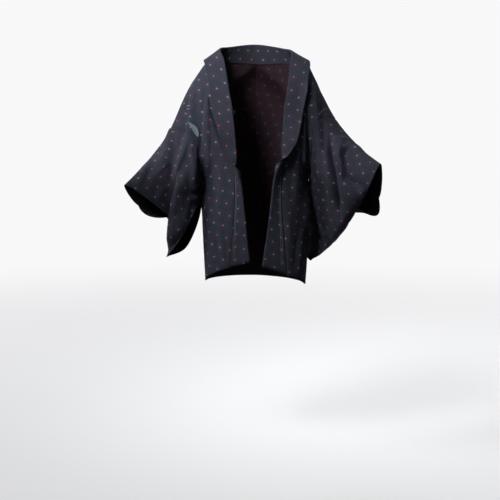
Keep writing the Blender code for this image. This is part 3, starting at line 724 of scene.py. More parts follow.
# %% Fine folds in front
FINE_FRONT = (
    # wearer's right: the roll of the panel beside the armhole
    ("all", ((-168, -104), (-178, -185), (-185, -267), (-185, -340), (-182, -400)), 6, -6),
    ("body", ((-180, -390), (-180, -450), (-178, -500), (-176, -560)), 12, 4),
    ("body", ((-162, -130), (-139, -229), (-101, -329), (-84, -372)), 7, -5),
    ("body", ((-146, -110), (-152, -202), (-150, -300), (-146, -399), (-140, -499)), 7, -2.5),
    ("body", ((-112, -330), (-118, -420), (-122, -520), (-120, -640)), 13, 3),
    ("body", ((-160, -532), (-150, -616), (-144, -693)), 7, -3),
    ("body", ((-136, -560), (-130, -660), (-128, -745)), 8, -2.5),
    ("body", ((-104, -560), (-100, -640), (-100, -715)), 7, -2),
    # wearer's right sleeve: the strip that laps over the forearm, and its crumples
    ("all", ((-226, -150), (-232, -215), (-242, -266), (-262, -326), (-276, -386), (-284, -450)), 10, -11),
    ("all", ((-206, -130), (-212, -210), (-222, -280), (-240, -339), (-258, -392), (-270, -450)), 8, 9),
    ("all", ((-190, -130), (-196, -200), (-200, -280), (-206, -350), (-210, -400)), 6, -4),
    ("sleeve", ((-280, -240), (-290, -290), (-298, -335), (-314, -372), (-334, -396)), 10, 8),
    ("sleeve", ((-268, -262), (-276, -333), (-290, -385), (-316, -412)), 6, -5),
    ("sleeve", ((-206, -330), (-206, -400), (-208, -470), (-212, -530)), 11, 8),
    ("sleeve", ((-276, -366), (-308, -393), (-340, -422)), 6, 3),
    ("sleeve", ((-202, -366), (-212, -449), (-226, -516), (-240, -590)), 8, 4),
    ("sleeve", ((-264, -470), (-272, -540), (-280, -610)), 7, 2.5),
    ("all", ((-222, -462), (-200, -450), (-176, -464)), 5, 6),
    ("all", ((-219, -478), (-194, -466), (-172, -490)), 5, -8),
    ("all", ((-216, -500), (-194, -488), (-178, -506)), 6, 6),
    ("sleeve", ((-330, -368), (-352, -410), (-366, -448)), 11, -3),
    ("sleeve", ((-356, -378), (-376, -420), (-388, -448)), 9, 3),
    ("sleeve", ((-300, -450), (-318, -480), (-330, -505)), 9, 3),
    # wearer's left: the deep valley between panel and sleeve, and the panel's own pleats
    ("all", ((171, -78), (168, -153), (175, -235), (180, -320), (179, -400)), 6, -6),
    ("body", ((180, -410), (180, -470), (178, -540), (176, -620)), 13, 9),
    ("all", ((190, -90), (197, -180), (203, -280), (208, -380)), 9, 5),
    ("all", ((214, -110), (220, -200), (225, -300), (228, -380)), 7, -4),
    ("body", ((160, -140), (161, -251), (163, -350), (162, -420)), 6, 2),
    ("body", ((153, -120), (147, -218), (151, -317), (154, -406)), 6, -4),
    ("body", ((128, -300), (120, -380), (118, -470), (122, -540)), 8, -2.5),
    ("body", ((156, -582), (147, -683), (141, -767)), 7, 4),
    ("body", ((140, -600), (128, -700), (124, -740)), 8, -4),
    ("body", ((118, -470), (112, -580), (110, -690), (112, -735)), 14, 2.5),
    ("sleeve", ((190, -250), (187, -360), (188, -470), (186, -560)), 6, 3),
    # wearer's left sleeve: the drop from the elbow and the buckles over it
    ("sleeve", ((246, -270), (248, -352), (256, -407), (260, -449), (272, -529), (284, -590)), 6, -13),
    ("sleeve", ((228, -290), (230, -380), (240, -460), (252, -540)), 9, 5),
    ("sleeve", ((276, -410), (300, -428), (326, -444), (350, -462)), 15, -10),
    ("sleeve", ((240, -300), (271, -298), (300, -303), (326, -321), (360, -344)), 8, 9),
    ("sleeve", ((288, -316), (274, -340), (276, -368), (286, -394), (302, -404)), 6, 7),
    ("sleeve", ((322, -320), (296, -332), (290, -357), (293, -382), (304, -400)), 5, -10),
    ("sleeve", ((278, -397), (299, -428), (332, -454)), 7, -6),
    ("sleeve", ((224, -300), (244, -318), (262, -322)), 6, 4),
    ("sleeve", ((207, -582), (230, -616), (256, -628)), 7, 4),
    ("sleeve", ((330, -400), (346, -440), (352, -480)), 9, 3),
    ("sleeve", ((222, -330), (226, -400), (236, -500), (240, -560)), 11, -3),
)

# %% Fine folds behind
FINE_BACK = (
    ("body", ((8, -200), (10, -360), (12, -520), (14, -780)), 8, -2),
    ("body", ((-72, -220), (-76, -380), (-82, -560), (-84, -770)), 9, -2.5),
    ("body", ((-142, -230), (-150, -360), (-150, -520), (-146, -700)), 9, 3),
    ("body", ((144, -210), (152, -340), (150, -500), (144, -690)), 9, 3),
    ("body", ((36, -180), (42, -330), (44, -520), (48, -770)), 8, -2.5),
    ("all", ((-176, -200), (-184, -290), (-182, -370), (-172, -460)), 6, -5),
    ("all", ((172, -170), (182, -250), (184, -340), (174, -440)), 6, -5),
    ("all", ((-214, -190), (-222, -280), (-226, -360)), 13, 5),
    ("all", ((208, -160), (214, -260), (222, -340)), 13, 5),
    ("body", ((-100, -66), (-130, -120), (-160, -190)), 11, 3),
    ("body", ((98, -70), (128, -120), (156, -180)), 11, 3),
    ("sleeve", ((-228, -360), (-240, -450), (-246, -540)), 7, 3),
    ("sleeve", ((-336, -390), (-352, -440), (-360, -500)), 9, -3),
    ("sleeve", ((-310, -370), (-330, -400), (-352, -416)), 6, 3),
    ("sleeve", ((216, -340), (224, -440), (222, -540)), 7, 3),
    ("sleeve", ((330, -350), (350, -420), (366, -480)), 9, -4),
    ("sleeve", ((300, -330), (330, -352), (364, -372)), 6, 3),
)
print("folds:", len(LARGE_FRONT + LARGE_BACK + FINE_FRONT + FINE_BACK))

# %% [markdown]
# ## Laying the folds
# A fold's height dies away over its width as a bell curve does, and towards both ends of its path.
# Every piece also gets its own slow unevenness, fading out towards the places that are held tight.

# %% Laying folds
FOLD_REACH = 3
FOLD_FADE = 0.22
STEPS_PER_POINT = 8
# width and height of the waves in mm, a shift that tells them apart, and their size in mm
WANDER = ((34, 150, 0, 2.2), (13, 48, 7, 0.7))


def along_path(places, path):
    """Distance of each place from a smooth path, and how far along the path it lies, 0 to 1."""
    line = spline(path, np.linspace(0, len(path) - 1, STEPS_PER_POINT * len(path)))
    walked = lengths(line[None], 1)[0]
    best = np.full(len(places), 1e9)
    at = np.zeros(len(places))
    for k, run in enumerate(np.diff(line, axis=0)):
        t = np.clip((places - line[k]) @ run / (run @ run), 0, 1)
        gap = np.linalg.norm(places - line[k] - t[:, None] * run, axis=1)
        closer = gap < best
        best[closer] = gap[closer]
        here = (walked[k] + t * (walked[k + 1] - walked[k])) / walked[-1]
        at[closer] = here[closer]
    return best, at


def fold_height(points, part, frontness):
    """How far the folds move each point out, in mm; frontness is 1 in front and 0 behind."""
    upright = points[:, [0, 2]]
    height = np.zeros(len(points))
    tables = ((LARGE_FRONT + FINE_FRONT, frontness), (LARGE_BACK + FINE_BACK, 1 - frontness))
    for table, share in tables:
        for where, path, width, rise in table:
            if where not in ("all", part):
                continue
            path = np.array(path, float)
            low, high = path.min(axis=0) - FOLD_REACH * width, path.max(axis=0) + FOLD_REACH * width
            near = ((upright > low) & (upright < high)).all(axis=1) & (share > 0)
            if not near.any():
                continue
            gap, at = along_path(upright[near], path)
            ends = soft(at / FOLD_FADE) * soft((1 - at) / FOLD_FADE)
            height[near] += share[near] * rise * ends * np.exp(-(gap / width) ** 2)
    return height


def unevenness(points):
    """Slow wander, drawn out downwards as cloth under its own weight is."""
    out = np.zeros(len(points))
    for k, (x, y, z) in enumerate(points):
        for wide, tall, shift, size in WANDER:
            out[k] += size * noise.noise(Vector((x / wide + shift, y / wide, z / tall)))
    return out


# %% Held and loose cloth
SHOULDER_LOOSENESS = 0.25
COLLAR_LOOSENESS = 0.3
CALM = 0.75
CALM_COLUMNS = 4


def lay(piece, part, frontness, size):
    """frontness and size have a number for each grid row, or for each point."""
    frontness, size = (np.broadcast_to(a, piece.shape).reshape(-1) for a in (frontness, size))
    height = fold_height(piece.points, part, frontness) + unevenness(piece.points) * size
    piece.points += piece.normals * height[:, None]
    piece.find_normals()


def looseness(from_shoulder):
    """How much the cloth wanders: little over the shoulder, fully four stations down."""
    gained = soft((np.abs(from_shoulder) - 0.3) / 4)
    return (SHOULDER_LOOSENESS + (1 - SHOULDER_LOOSENESS) * gained)[:, None]


def held(columns, both):
    """Across a piece: calm near a sewn edge, free after a few columns."""
    calm = np.exp(-(np.arange(columns) / CALM_COLUMNS) ** 2)
    if both:
        calm = calm + calm[::-1]
    return (1 - CALM * calm)[None, :]


stations_in_line = (SHOULDER - SIDE_SEAM) / (LINES_ROUND / 2 - UNDERARM_FRONT)
for side in SIDES:
    row = stations(-SHOULDER, SHOULDER)
    lay(bodies[side], "body", soft(row + 0.5)[:, None],
        looseness(row) * held(PANEL_COLUMNS, True))
    lay(gussets[side], "body", np.linspace(1, 0, GUSSET_COLUMNS)[None, :], 1.0)
    row = stations_in_line * np.clip(LINES_ROUND / 2 - sleeves[side].places, -2, 2)
    lay(sleeves[side], "sleeve", soft(row + 0.5)[:, None],
        looseness(row) * held(SLEEVE_COLUMNS, False))
lay(collar, "collar", 1.0, COLLAR_LOOSENESS)
sew_all()

# %% [markdown]
# ## Drawing the seams in
# A hand-sewn seam is a little shorter than the cloth it holds, so it lies in a shallow valley that
# puckers along its length. The two pieces share the same points there, and each is drawn in by the
# same amount, worked out from where the point is.

# %% Seam valleys
SEAM_DEPTH = 1.5
PUCKER = 1.1
PUCKER_LENGTH = 11


def pinch(piece, *edges):
    """Draws the points of sewn edges in, by depths that differ along the seam."""
    for k in np.concatenate(edges):
        wave = noise.noise(Vector(piece.points[k] / PUCKER_LENGTH))
        piece.points[k] -= piece.normals[k] * (SEAM_DEPTH + PUCKER * wave)


pinch(collar, collar.index[:, 0])
for side in SIDES:
    body, gusset, sleeve = bodies[side], gussets[side], sleeves[side]
    pinch(body, body.index[:, 0], body.index[:, -1])
    pinch(gusset, gusset.index[:, 0], gusset.index[:, -1])
    pinch(sleeve, sleeve.index[SLEEVE_HANG + 1:SLEEVE_HANG + 2 * ARM_ROWS, 0])
    for piece in (body, gusset, sleeve):
        piece.find_normals()
collar.find_normals()
sew_all()

# %% [markdown]
# ## Giving the cloth its wall
# The wall is two skins and a rounded rim. Cut edges are turned in on a real haori, so the wall
# thickens to a hem at every open edge.

# %% Objects
def new_object(name, points, faces, finishes):
    """A smooth mesh from points in mm, and its object, in the scene."""
    mesh = bpy.data.meshes.new(name)
    mesh.from_pydata((np.asarray(points) * MM).tolist(), [], faces)
    for finish in finishes:
        mesh.materials.append(finish)
    mesh.shade_smooth()
    made = bpy.data.objects.new(name, mesh)
    bpy.context.scene.collection.objects.link(made)
    print(name, "faces:", len(faces))
    return made


# %% Wall
HEM_BULGE = 0.45 * HEM_WALL


def make_cloth(name, piece, wall, finishes, hem=()):
    """Closes a piece into a thin solid. hem lists the open edges, as arrays of point numbers."""
    used = np.unique(piece.quads)
    order = np.full(len(piece.points), -1)
    order[used] = np.arange(len(used))
    thick = np.full(len(piece.points), wall)
    for edge in hem:
        thick[edge] = HEM_WALL
    half = (piece.normals * (piece.reach * thick)[:, None] / 2)[used]
    middle = piece.points[used]
    skin = order[piece.quads]
    size = len(used)
    a, b = (order[ends] for ends in piece.open_edges())
    turn = np.cross(unit(middle[b] - middle[a]), piece.normals[used][a])
    outward = np.zeros_like(middle)
    np.add.at(outward, a, turn)
    np.add.at(outward, b, turn)
    rim = np.unique(np.concatenate([a, b]))
    place = np.full(size, -1)
    place[rim] = np.arange(len(rim)) + 2 * size
    bulge = np.zeros(size)
    for edge in hem:
        bulge[order[edge]] = HEM_BULGE
    edge_points = middle[rim] + unit(outward[rim]) * bulge[rim][:, None]
    points = np.vstack([middle + half, middle - half, edge_points])
    upper = np.stack([b, a, place[a], place[b]], axis=1)
    lower = np.stack([place[b], place[a], a + size, b + size], axis=1)
    faces = np.vstack([skin, skin[:, ::-1] + size, upper, lower])
    per_point = np.zeros((len(piece.points), 2))
    per_point[piece.quads.reshape(-1)] = piece.flat.reshape(-1, 2)
    per_point = per_point[used]
    ends = np.stack([per_point[b], per_point[a], per_point[a], per_point[b]], axis=1)
    flat = np.vstack([piece.flat, piece.flat[:, ::-1], ends, ends])
    made = new_object(name, points, faces.tolist(), finishes)
    layer = made.data.uv_layers.new(name="flat_cloth")
    layer.data.foreach_set("uv", flat.reshape(-1))
    if len(finishes) > 1:
        kinds = np.zeros(len(faces), int)
        kinds[len(skin):2 * len(skin)] = 1
        made.data.polygons.foreach_set("material_index", kinds)
    made.data.update()
    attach(made, "root")
    return made


# %% [markdown]
# ## Shader arithmetic
# Materials are written as sums. `Wire` wraps one socket of one material, so `1 - mask` or
# `a * b` adds the Math node it stands for; `Shader.node` adds any other node.

# %% Wire
class Wire:
    def __init__(self, shader, socket):
        self.shader = shader
        self.socket = socket

    def math(self, kind, *others):
        return self.shader.node("ShaderNodeMath", {"operation": kind}, self, *others)

    def __add__(self, other):
        return self.math("ADD", other)

    def __sub__(self, other):
        return self.math("SUBTRACT", other)

    def __rsub__(self, other):
        return self.shader.node("ShaderNodeMath", {"operation": "SUBTRACT"}, other, self)

    def __mul__(self, other):
        return self.math("MULTIPLY", other)

    def __truediv__(self, other):
        return self.math("DIVIDE", other)

    __radd__ = __add__
    __rmul__ = __mul__

    def between(self, low, high):
        """0 at low and under, 1 at high and over, smooth in between."""
        return self.shader.node("ShaderNodeMapRange", {"interpolation_type": "SMOOTHSTEP"},
                                self, low, high)

    def mix(self, first, second):
        """The first colour where this is 0, the second where it is 1."""
        return self.shader.node("ShaderNodeMix", {"data_type": "RGBA"}, Factor=self,
                                A=first, B=second, out="Result")


# %% Shader
class Shader:
    def __init__(self, name):
        self.material = bpy.data.materials.new(name)
        self.material.use_nodes = True
        self.tree = self.material.node_tree
        self.surface = self.tree.nodes["Principled BSDF"]

    def node(self, kind, settings=None, *values, out=None, **named):
        """Adds a node: its settings first, then its sockets in order or by name."""
        made = self.tree.nodes.new(kind)
        for key, value in (settings or {}).items():
            setattr(made, key, value)
        shown = [s for s in made.inputs if s.enabled]
        for socket, value in zip(shown, values):
            self.feed(socket, value)
        for key, value in named.items():
            self.feed(next(s for s in shown if s.name.replace(" ", "_") == key), value)
        results = [s for s in made.outputs if s.enabled and out in (None, s.name)]
        return Wire(self, results[0])

    def feed(self, socket, value):
        if isinstance(value, Wire):
            self.tree.links.new(value.socket, socket)
        elif isinstance(value, tuple) and len(value) == 3 and socket.type == "RGBA":
            socket.default_value = (*value, 1.0)
        else:
            socket.default_value = value

    def set(self, **values):
        """Fills sockets of the surface and returns the finished material."""
        for key, value in values.items():
            self.feed(self.surface.inputs[key.replace("_", " ")], value)
        print(self.material.name, "nodes:", len(self.tree.nodes))
        return self.material


# %% [markdown]
# ## The patterned silk
# The ground is a blue-black silk with a soft figured weave. Small four-petalled flowers stand in
# columns, each column dropped by a little under half a step against its neighbour. The motif is
# drawn from the flat-cloth map, so it keeps its size and runs with the grain of every strip.
# An image could do the same, but arithmetic stays sharp at any distance.

# %% Flower grid
COLUMN_PITCH = 0.031
FLOWER_PITCH = 0.0425
COLUMN_DROP = 0.42
FLOWER_RADIUS = 0.0046
HEART_EDGE = (0.0008, 0.0022)
PETALS = 4
PETAL_DEPTH = 0.20
RAYS = 12
RAY_START = (0.0045, 0.0060)
RAY_END = (0.0125, 0.0165)


def flower_masks(s, cloth_u, cloth_v):
    """Petals, heart, the woven rays round them, and a random number for each flower."""
    column = cloth_u / COLUMN_PITCH
    column_number = column.math("FLOOR")
    row = cloth_v / FLOWER_PITCH + column_number * COLUMN_DROP
    row_number = row.math("FLOOR")
    x = (column - column_number - 0.5) * COLUMN_PITCH
    y = (row - row_number - 0.5) * FLOWER_PITCH
    reach = (x * x + y * y).math("SQRT")
    angle = y.math("ARCTAN2", x)
    edge = (angle * PETALS).math("COSINE") * PETAL_DEPTH + (1 - PETAL_DEPTH)
    petals = 1 - (reach / (edge * FLOWER_RADIUS)).between(0.72, 1.10)
    heart = 1 - reach.between(*HEART_EDGE)
    rays = (angle * RAYS).math("COSINE").between(0.25, 0.95)
    rays = rays * reach.between(*RAY_START) * (1 - reach.between(*RAY_END))
    cell = s.node("ShaderNodeCombineXYZ", None, column_number, row_number, 0.0)
    chance = s.node("ShaderNodeTexWhiteNoise", {"noise_dimensions": "2D"}, cell, out="Value")
    return petals, heart, rays, chance


# %% Silk colours
GROUND = (0.0210, 0.0225, 0.0340)
GROUND_TEAL = (0.0085, 0.0285, 0.0345)
GROUND_WINE = (0.0440, 0.0150, 0.0270)
RAY_TEAL = (0.0180, 0.0520, 0.0560)
ROSE = (0.160, 0.034, 0.064)
PALE_ROSE = (0.160, 0.075, 0.098)
ASH = (0.145, 0.118, 0.135)
HEART = (0.310, 0.200, 0.250)
THREAD_SHINE = 1.8
print("flowers to a square metre:", round(1 / (COLUMN_PITCH * FLOWER_PITCH)))

# %% Silk
def silk(name, shade, strength):
    """The cloth's right side, or with a red-brown shade and weaker flowers its wrong side."""
    s = Shader(name)
    flat = s.node("ShaderNodeUVMap", {"uv_map": "flat_cloth"})
    parts = s.tree.nodes.new("ShaderNodeSeparateXYZ")
    s.feed(parts.inputs[0], flat)
    petals, heart, rays, chance = flower_masks(s, *(Wire(s, part) for part in parts.outputs[:2]))
    figure, speckle = (
        s.node("ShaderNodeTexNoise", {"noise_dimensions": "2D"}, flat, Scale=scale, Detail=detail,
               Roughness=rough, out="Fac")
        for scale, detail, rough in ((95.0, 3.0, 0.6), (170.0, 2.0, 0.5)))
    weft, warp = (
        s.node("ShaderNodeTexWave", {"wave_type": "BANDS", "bands_direction": axis}, flat,
               Scale=420.0, Distortion=wander, Detail=1.0, Detail_Scale=2.0, out="Fac")
        for axis, wander in (("Y", 1.4), ("X", 1.2)))
    ground, teal, wine, ray = (tuple(c * k for c, k in zip(colour, shade))
                               for colour in (GROUND, GROUND_TEAL, GROUND_WINE, RAY_TEAL))
    lit_thread = tuple(c * THREAD_SHINE for c in ground)
    colour = figure.between(0.44, 0.58).mix(ground, teal)
    colour = (rays * 0.7).mix(colour, ray)
    colour = (speckle.between(0.50, 0.60) * 0.85).mix(colour, wine)
    colour = (weft * warp * 0.35).mix(colour, lit_thread)
    flower = chance.between(0.30, 0.36).mix(ROSE, PALE_ROSE)
    flower = chance.between(0.72, 0.78).mix(flower, ASH)
    flower = (heart * 0.6).mix(flower, HEART)
    colour = (petals * (0.80 + 0.20 * warp) * strength).mix(colour, flower)
    relief = weft * 0.5 + warp * 0.5 + figure * 1.4 + petals * 0.8 + rays * 0.6
    bump = s.node("ShaderNodeBump", None, Strength=0.55, Distance=0.00035, Height=relief)
    return s.set(Base_Color=colour, Roughness=0.72 + figure * 0.16 - petals * 0.06, Normal=bump,
                 Sheen_Weight=0.04, Sheen_Roughness=0.30, Sheen_Tint=(0.60, 0.72, 1.0),
                 Specular_IOR_Level=0.07)


right_side = silk("figured_silk", (1.0, 1.0, 1.0), 0.95)
wrong_side = silk("silk_wrong_side", (0.95, 0.52, 0.50), 0.30)

# %% [markdown]
# ## Lining, cord and thread
# The lining is a smooth grey-blue silk, the loops are braided black cord, and new haori keep the
# white basting that holds the edges flat until the first wearing.

# %% Plain finishes
def plain(name, colour, other, scale, rough):
    """A dull finish: two near colours in a fine grain."""
    s = Shader(name)
    place = s.node("ShaderNodeTexCoord", None, out="Object")
    grain = s.node("ShaderNodeTexNoise", None, place, Scale=scale, Detail=3.0, out="Fac")
    bump = s.node("ShaderNodeBump", None, Strength=0.4, Distance=0.0003, Height=grain)
    return s.set(Base_Color=grain.between(0.35, 0.65).mix(colour, other),
                 Roughness=rough + grain * 0.1, Normal=bump, Specular_IOR_Level=0.15)


lining = plain("lining_silk", (0.078, 0.108, 0.128), (0.115, 0.150, 0.175), 900.0, 0.50)
cord = plain("black_cord", (0.0040, 0.0040, 0.0048), (0.0070, 0.0070, 0.0085), 1500.0, 0.8)
basting = plain("basting_thread", (0.42, 0.44, 0.46), (0.52, 0.53, 0.53), 2000.0, 0.8)
seam_thread = plain("seam_thread", (0.10, 0.11, 0.13), (0.15, 0.16, 0.18), 2000.0, 0.8)

# %% [markdown]
# ## Making the cut pieces
# Each strip becomes one closed object and takes the place of its plain solid in the frame, which is
# hidden. The flat sizes leave out the seam allowances. A body panel's area is less than the
# rectangle it was cut from, because the neck, the front and the side are cut away or taken in.


def finish_piece(node):
    """Hides the plain solid in the frame that the piece stands for."""
    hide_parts(node)


for side in SIDES:
    body, gusset, sleeve = bodies[side], gussets[side], sleeves[side]
    inner_edge = np.concatenate([sleeve.index[:SLEEVE_HANG, 0], sleeve.index[-SLEEVE_HANG + 1:, 0]])
    mouth = sleeve.index[SLEEVE_HANG:-SLEEVE_HANG, -1]
    for kind, piece, hem in (("body", body, (body.index[0], body.index[-1])),
                             ("gusset", gusset, (gusset.index[0], gusset.index[-1])),
                             ("sleeve", sleeve, (inner_edge, mouth))):
        made = make_cloth(f"haori_{kind}_{side}", piece, CLOTH_WALL, (right_side, wrong_side), hem)
        finish_piece(f"{kind}_{side}")
made = make_cloth("haori_collar", collar, COLLAR_WALL, (right_side, right_side),
                  hem=(collar.index[:, -1],))
finish_piece("collar")

# %% [markdown]
# ## The corner of lining
# Inside the right armhole a corner of the lining has worked its way out over the panel. It is a
# small flap of smooth silk, so it is taken from the panel's own points, lifted a little, with its
# free edge curled away.

# %% Lining corner
# station below the shoulder, and the shares of the panel's width where the flap starts and ends
LINING_CORNER = ((1.34, 0.850, 0.862), (1.52, 0.845, 0.905), (1.74, 0.842, 0.94),
                 (1.94, 0.865, 0.95), (2.08, 0.905, 0.935))
LINING_ROWS = 29
LINING_COLUMNS = 15
LINING_LIFT = 2.9
LINING_CURL = 2.2
LINING_PLEAT = 3.6
LINING_WALL = 1.0


def lining_corner(panel):
    rows = spline(LINING_CORNER, np.linspace(0, len(LINING_CORNER) - 1, LINING_ROWS))
    grid = []
    for place, (station, near, far) in zip(np.linspace(0, 1, LINING_ROWS), rows):
        line = []
        for t in np.linspace(0, 1, LINING_COLUMNS):
            column = (near + (far - near) * t) * (PANEL_COLUMNS - 1)
            point, out = panel.at((SHOULDER + station) * ROWS, column)
            pleat = LINING_PLEAT * math.sin(5.5 * t + 4 * place) * t * (1 - t)
            line.append(point + out * (LINING_LIFT + LINING_CURL * (1 - t) ** 3 + pleat))
        grid.append(line)
    grid = np.array(grid)
    flat = np.stack([lengths(grid, 1) * MM, lengths(grid, 0) * MM], axis=2)
    return Cloth(grid, flat, flip=True)


made = make_cloth("haori_lining_corner", lining_corner(bodies["right"]), LINING_WALL, (lining,))
finish_piece("lining_corner")

# %% [markdown]
# ## Cord loops
# A loop of braided cord stands on each crease, for the tie that closes a haori. A curve with a
# bevel would draw it, but the stitches further on need hundreds of short tubes, so one function
# makes any number of tubes as one joined mesh.

# %% Tubes
TUBE_SIDES = 8
SLANT = (0.31, 0.52, 0.80)


def tubes(name, lines, radius, finish):
    """Closed round tubes along lines of points; lines has one row of points for each tube."""
    lines = np.asarray(lines, float)
    count, steps = lines.shape[:2]
    run = unit(np.gradient(lines, axis=1))
    aside = unit(np.cross(run, np.cross(run[:, :1], SLANT)))
    other = np.cross(run, aside)
    around = np.linspace(0, 2 * math.pi, TUBE_SIDES, endpoint=False)[:, None]
    ring = (aside[:, :, None] * np.cos(around) + other[:, :, None] * np.sin(around)) * radius
    points = (lines[:, :, None] + ring).reshape(-1, 3)
    faces = []
    for first in range(0, count * steps * TUBE_SIDES, steps * TUBE_SIDES):
        last = first + (steps - 1) * TUBE_SIDES
        for a in range(first, last, TUBE_SIDES):
            b = a + TUBE_SIDES
            for k in range(TUBE_SIDES):
                after = (k + 1) % TUBE_SIDES
                faces.append((a + k, a + after, b + after, b + k))
        faces.append(tuple(range(first, first + TUBE_SIDES))[::-1])
        faces.append(tuple(range(last, last + TUBE_SIDES)))
    made = new_object(name, points, faces, (finish,))
    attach(made, "root")
    return made


# %% Cord loops
LOOP_RADIUS = 4.8
LOOP_CORD_RADIUS = 1.9
LOOP_STATION = {"right": 6.9, "left": 6.6}
LOOP_STEPS = 32
LOOP_OVAL = 1.2
LOOP_GAP = 0.2


def cord_loop(side):
    row = round(LOOP_STATION[side] * ROWS)
    if side == "left":
        row = -1 - row
    sewn, bend = COLLAR_STEPS[:2]
    turn = sewn + bend // 2
    base = collar.points[collar.index[row, turn]]
    along = unit(collar.points[collar.index[row + 1, turn]] - base)
    inside = collar.points[collar.index[row, sewn // 3]]
    away = unit(base - inside)
    away = unit(away - along * (away @ along))
    start = base + away * (COLLAR_WALL / 2 + LOOP_GAP + LOOP_CORD_RADIUS)
    line = [start + (along * math.cos(angle) + away * math.sin(angle) * LOOP_OVAL) * LOOP_RADIUS
            for angle in np.linspace(0, math.pi, LOOP_STEPS)]
    made = tubes("haori_loop_" + side, [line], LOOP_CORD_RADIUS, cord)
    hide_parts("cord_loop_" + side)


for side in SIDES:
    cord_loop(side)

# %% [markdown]
# ## Stitches
# Hand stitches show along the open edges of a haori and beside its collar seam, each a short rise
# of thread that dives back into the cloth. A texture could draw them, but at an edge they catch the
# light, so each one is a small tube. White basting marks are left at both shoulders.

# %% Stitches
THREAD = 0.32
COLLAR_THREAD = 0.5
STITCH = (3.4, 3.0)
COLLAR_STITCH = (5.0, 1.6)
ALONG_STITCH = np.array([0, 0.2, 0.5, 0.8, 1])
ARCH = np.array([-1.2, 0.5, 0.9, 0.5, -1.2])


def running_stitch(piece, rows, columns, stitch, radius, lift):
    """Stitches and gaps along a straight run of grid rows and columns, on the outer face."""
    count = max(int(max(abs(rows[1] - rows[0]), abs(columns[1] - columns[0])) * 2), 2)
    spots = [piece.at(*place) for place in zip(np.linspace(*rows, count), np.linspace(*columns, count))]
    line, facing = (np.array(kind) for kind in zip(*spots))
    walked = lengths(line[None], 1)[0]
    length, gap = stitch
    lines = []
    for start in np.arange(gap, walked[-1] - length - gap, length + gap):
        at = start + length * ALONG_STITCH
        point, out = (np.stack([np.interp(at, walked, kind[:, k]) for k in range(3)], axis=1)
                      for kind in (line, facing))
        lines.append(point + unit(out) * (lift + radius * ARCH)[:, None])
    return lines


edge_stitches, collar_stitches = [], []
end = SLEEVE_COLUMNS - 1
for side in SIDES:
    for rows, columns in (((2, SLEEVE_HANG - 4), (1.4, 1.4)),
                          ((2, SLEEVE_HANG - 2), (end - 1.4, end - 1.4)),
                          ((1.4, 1.4), (2, end - 2))):
        edge_stitches += running_stitch(sleeves[side], rows, columns, STITCH, THREAD,
                                        CLOTH_WALL / 2)
last = len(collar.index)
for rows, columns in (((2, 31), (2.6, 4.3)), ((last - 3, last - 31), (3.4, 5.0))):
    for column in columns:
        collar_stitches += running_stitch(collar, rows, (column, column), COLLAR_STITCH,
                                          COLLAR_THREAD, COLLAR_WALL / 2)
tubes("haori_edge_stitches", edge_stitches, THREAD, seam_thread)
tubes("haori_collar_stitches", collar_stitches, COLLAR_THREAD, seam_thread)

# %% Basting
BASTING_THREAD = 0.45
NEAREST = 12
SAME_PLACE = 3
BASTING_ARCH = (-0.6, 0.5, 0.9, 0.5, -0.6)
# side, and both ends of the stitch in the upright plane
BASTING = (
    ("right", (-232, -189), (-221, -187)), ("right", (-231, -199), (-219, -197)),
    ("left", (206, -217), (213, -211)), ("left", (215, -209), (222, -203)),
    ("left", (224, -202), (230, -197)),
)


def on_front(side, x, z):
    """The front-facing point of panel or sleeve that is seen at this place from the front."""
    best = None
    for piece in (bodies[side], sleeves[side]):
        gap = np.hypot(piece.points[:, 0] - x, piece.points[:, 2] - z)
        gap[piece.normals[:, 1] > -0.1] = 1e9
        near = np.argsort(gap)[:NEAREST]
        front = near[gap[near] < gap[near[0]] + SAME_PLACE]
        k = front[np.argmin(piece.points[front, 1])]
        if best is None or gap[k] < best[0]:
            best = (gap[k], piece.points[k], piece.normals[k])
    return best[1:]


basted = []
for side, start, stop in BASTING:
    line = []
    for t, rise in zip(np.linspace(0, 1, len(BASTING_ARCH)), BASTING_ARCH):
        x, z = np.array(start) * (1 - t) + np.array(stop) * t
        point, out = on_front(side, x, z)
        line.append(np.array((x, point[1], z)) + out * (CLOTH_WALL / 2 + rise))
    basted.append(line)
tubes("haori_basting", basted, BASTING_THREAD, basting)

# %% [markdown]
# ## Floor
# A pale floor and a white surround keep the dark silk readable. The floor is lit near the coat and
# turns into plain white light further out, so that no horizon cuts across the picture; the change
# follows the distance from the middle of the floor. To the silk the floor and the surround are
# much dimmer than they look, or their light from below would wash out the folds.

# %% Floor
FLOOR_HEIGHT = -1450
FLOOR_RADIUS = 14000
FLOOR_CORNERS = 96
SURROUND = (0.94, 0.94, 0.95)
GREY_FOR_LIGHT = (0.25, 0.25, 0.26, 1)


def show_camera(tree, seen, for_light, output):
    """The camera sees one shader, and light is thrown back by the other."""
    ray = tree.nodes.new("ShaderNodeLightPath")
    either = tree.nodes.new("ShaderNodeMixShader")
    tree.links.new(ray.outputs["Is Camera Ray"], either.inputs[0])
    tree.links.new(for_light.outputs[0], either.inputs[1])
    tree.links.new(seen.outputs[0], either.inputs[2])
    tree.links.new(either.outputs[0], tree.nodes[output].inputs["Surface"])


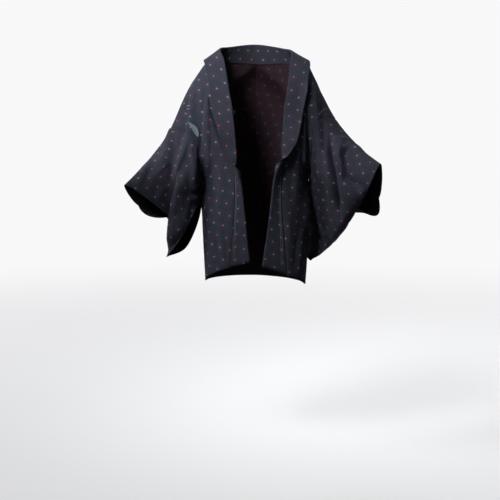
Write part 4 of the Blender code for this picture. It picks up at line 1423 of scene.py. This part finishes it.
def floor_finish():
    s = Shader("pale_floor")
    place = s.node("ShaderNodeTexCoord", None, out="Object")
    grain = s.node("ShaderNodeTexNoise", None, place, Scale=3.0, Detail=4.0, out="Fac")
    reach = s.node("ShaderNodeVectorMath", {"operation": "LENGTH"}, place, out="Value")
    far = reach.between(0.8, 6.5)
    lit = grain.mix((0.60, 0.60, 0.60), (0.64, 0.64, 0.63))
    s.set(Base_Color=far.mix(lit, (0.0, 0.0, 0.0)), Roughness=0.9,
          Emission_Color=far.mix((0.50, 0.50, 0.51), SURROUND), Emission_Strength=1.0,
          Specular_IOR_Level=0.0)
    for_light = s.tree.nodes.new("ShaderNodeBsdfDiffuse")
    for_light.inputs["Color"].default_value = GREY_FOR_LIGHT
    show_camera(s.tree, s.surface, for_light, "Material Output")
    return s.material


angles = np.linspace(0, 2 * math.pi, FLOOR_CORNERS, endpoint=False)
ring = [(FLOOR_RADIUS * math.cos(a), FLOOR_RADIUS * math.sin(a), FLOOR_HEIGHT) for a in angles]
new_object("floor", ring, [tuple(range(FLOOR_CORNERS))], (floor_finish(),))

# %% [markdown]
# ## Light
# The key lamp and a smaller one beside it shine from high on the left, so the silk is brightest at
# the shoulders and sinks into the dark towards the hem and the right. A weak fill opens the
# shadows, and two lamps behind light the back. All are soft discs, because a small lamp would draw
# hard shadows on the folds. A narrow spread, in degrees, is what a honeycomb grid on a lamp does.

# %% Lamps
# place, target, size, power, spread
LAMPS = {
    "key": ((-1.5, -2.5, 1.9), (-0.24, 0, 0.20), 1.3, 9.5, 36),
    "side": ((-2.7, -1.2, 1.3), (-0.14, 0, 0.0), 1.0, 8, 50),
    "fill": ((0.3, -3.2, 0.9), (0, 0, -0.3), 1.6, 1.1, 180),
    "back_left": ((-1.6, 2.4, 1.9), (0, 0, -0.4), 1.2, 34, 180),
    "back_right": ((2.2, 2.0, 1.2), (0, 0, -0.4), 1.6, 12, 180),
}
for name, (place, target, size, power, spread) in LAMPS.items():
    data = bpy.data.lights.new(name, "AREA")
    data.shape = "DISK"
    data.size = size
    data.energy = power
    data.spread = math.radians(spread)
    lamp = bpy.data.objects.new(name, data)
    lamp.location = place
    lamp.rotation_euler = (Vector(target) - Vector(place)).to_track_quat("-Z", "Y").to_euler()
    bpy.context.scene.collection.objects.link(lamp)
print("lamps:", list(LAMPS))

# %% Surround
GLOW = (0.90, 0.95, 1.0, 1)
GLOW_STRENGTH = 0.135

world = bpy.data.worlds.new("studio")
bpy.context.scene.world = world
world.use_nodes = True
seen = world.node_tree.nodes["Background"]
seen.inputs["Color"].default_value = (*SURROUND, 1)
glow = world.node_tree.nodes.new("ShaderNodeBackground")
glow.inputs["Color"].default_value = GLOW
glow.inputs["Strength"].default_value = GLOW_STRENGTH
show_camera(world.node_tree, seen, glow, "World Output")
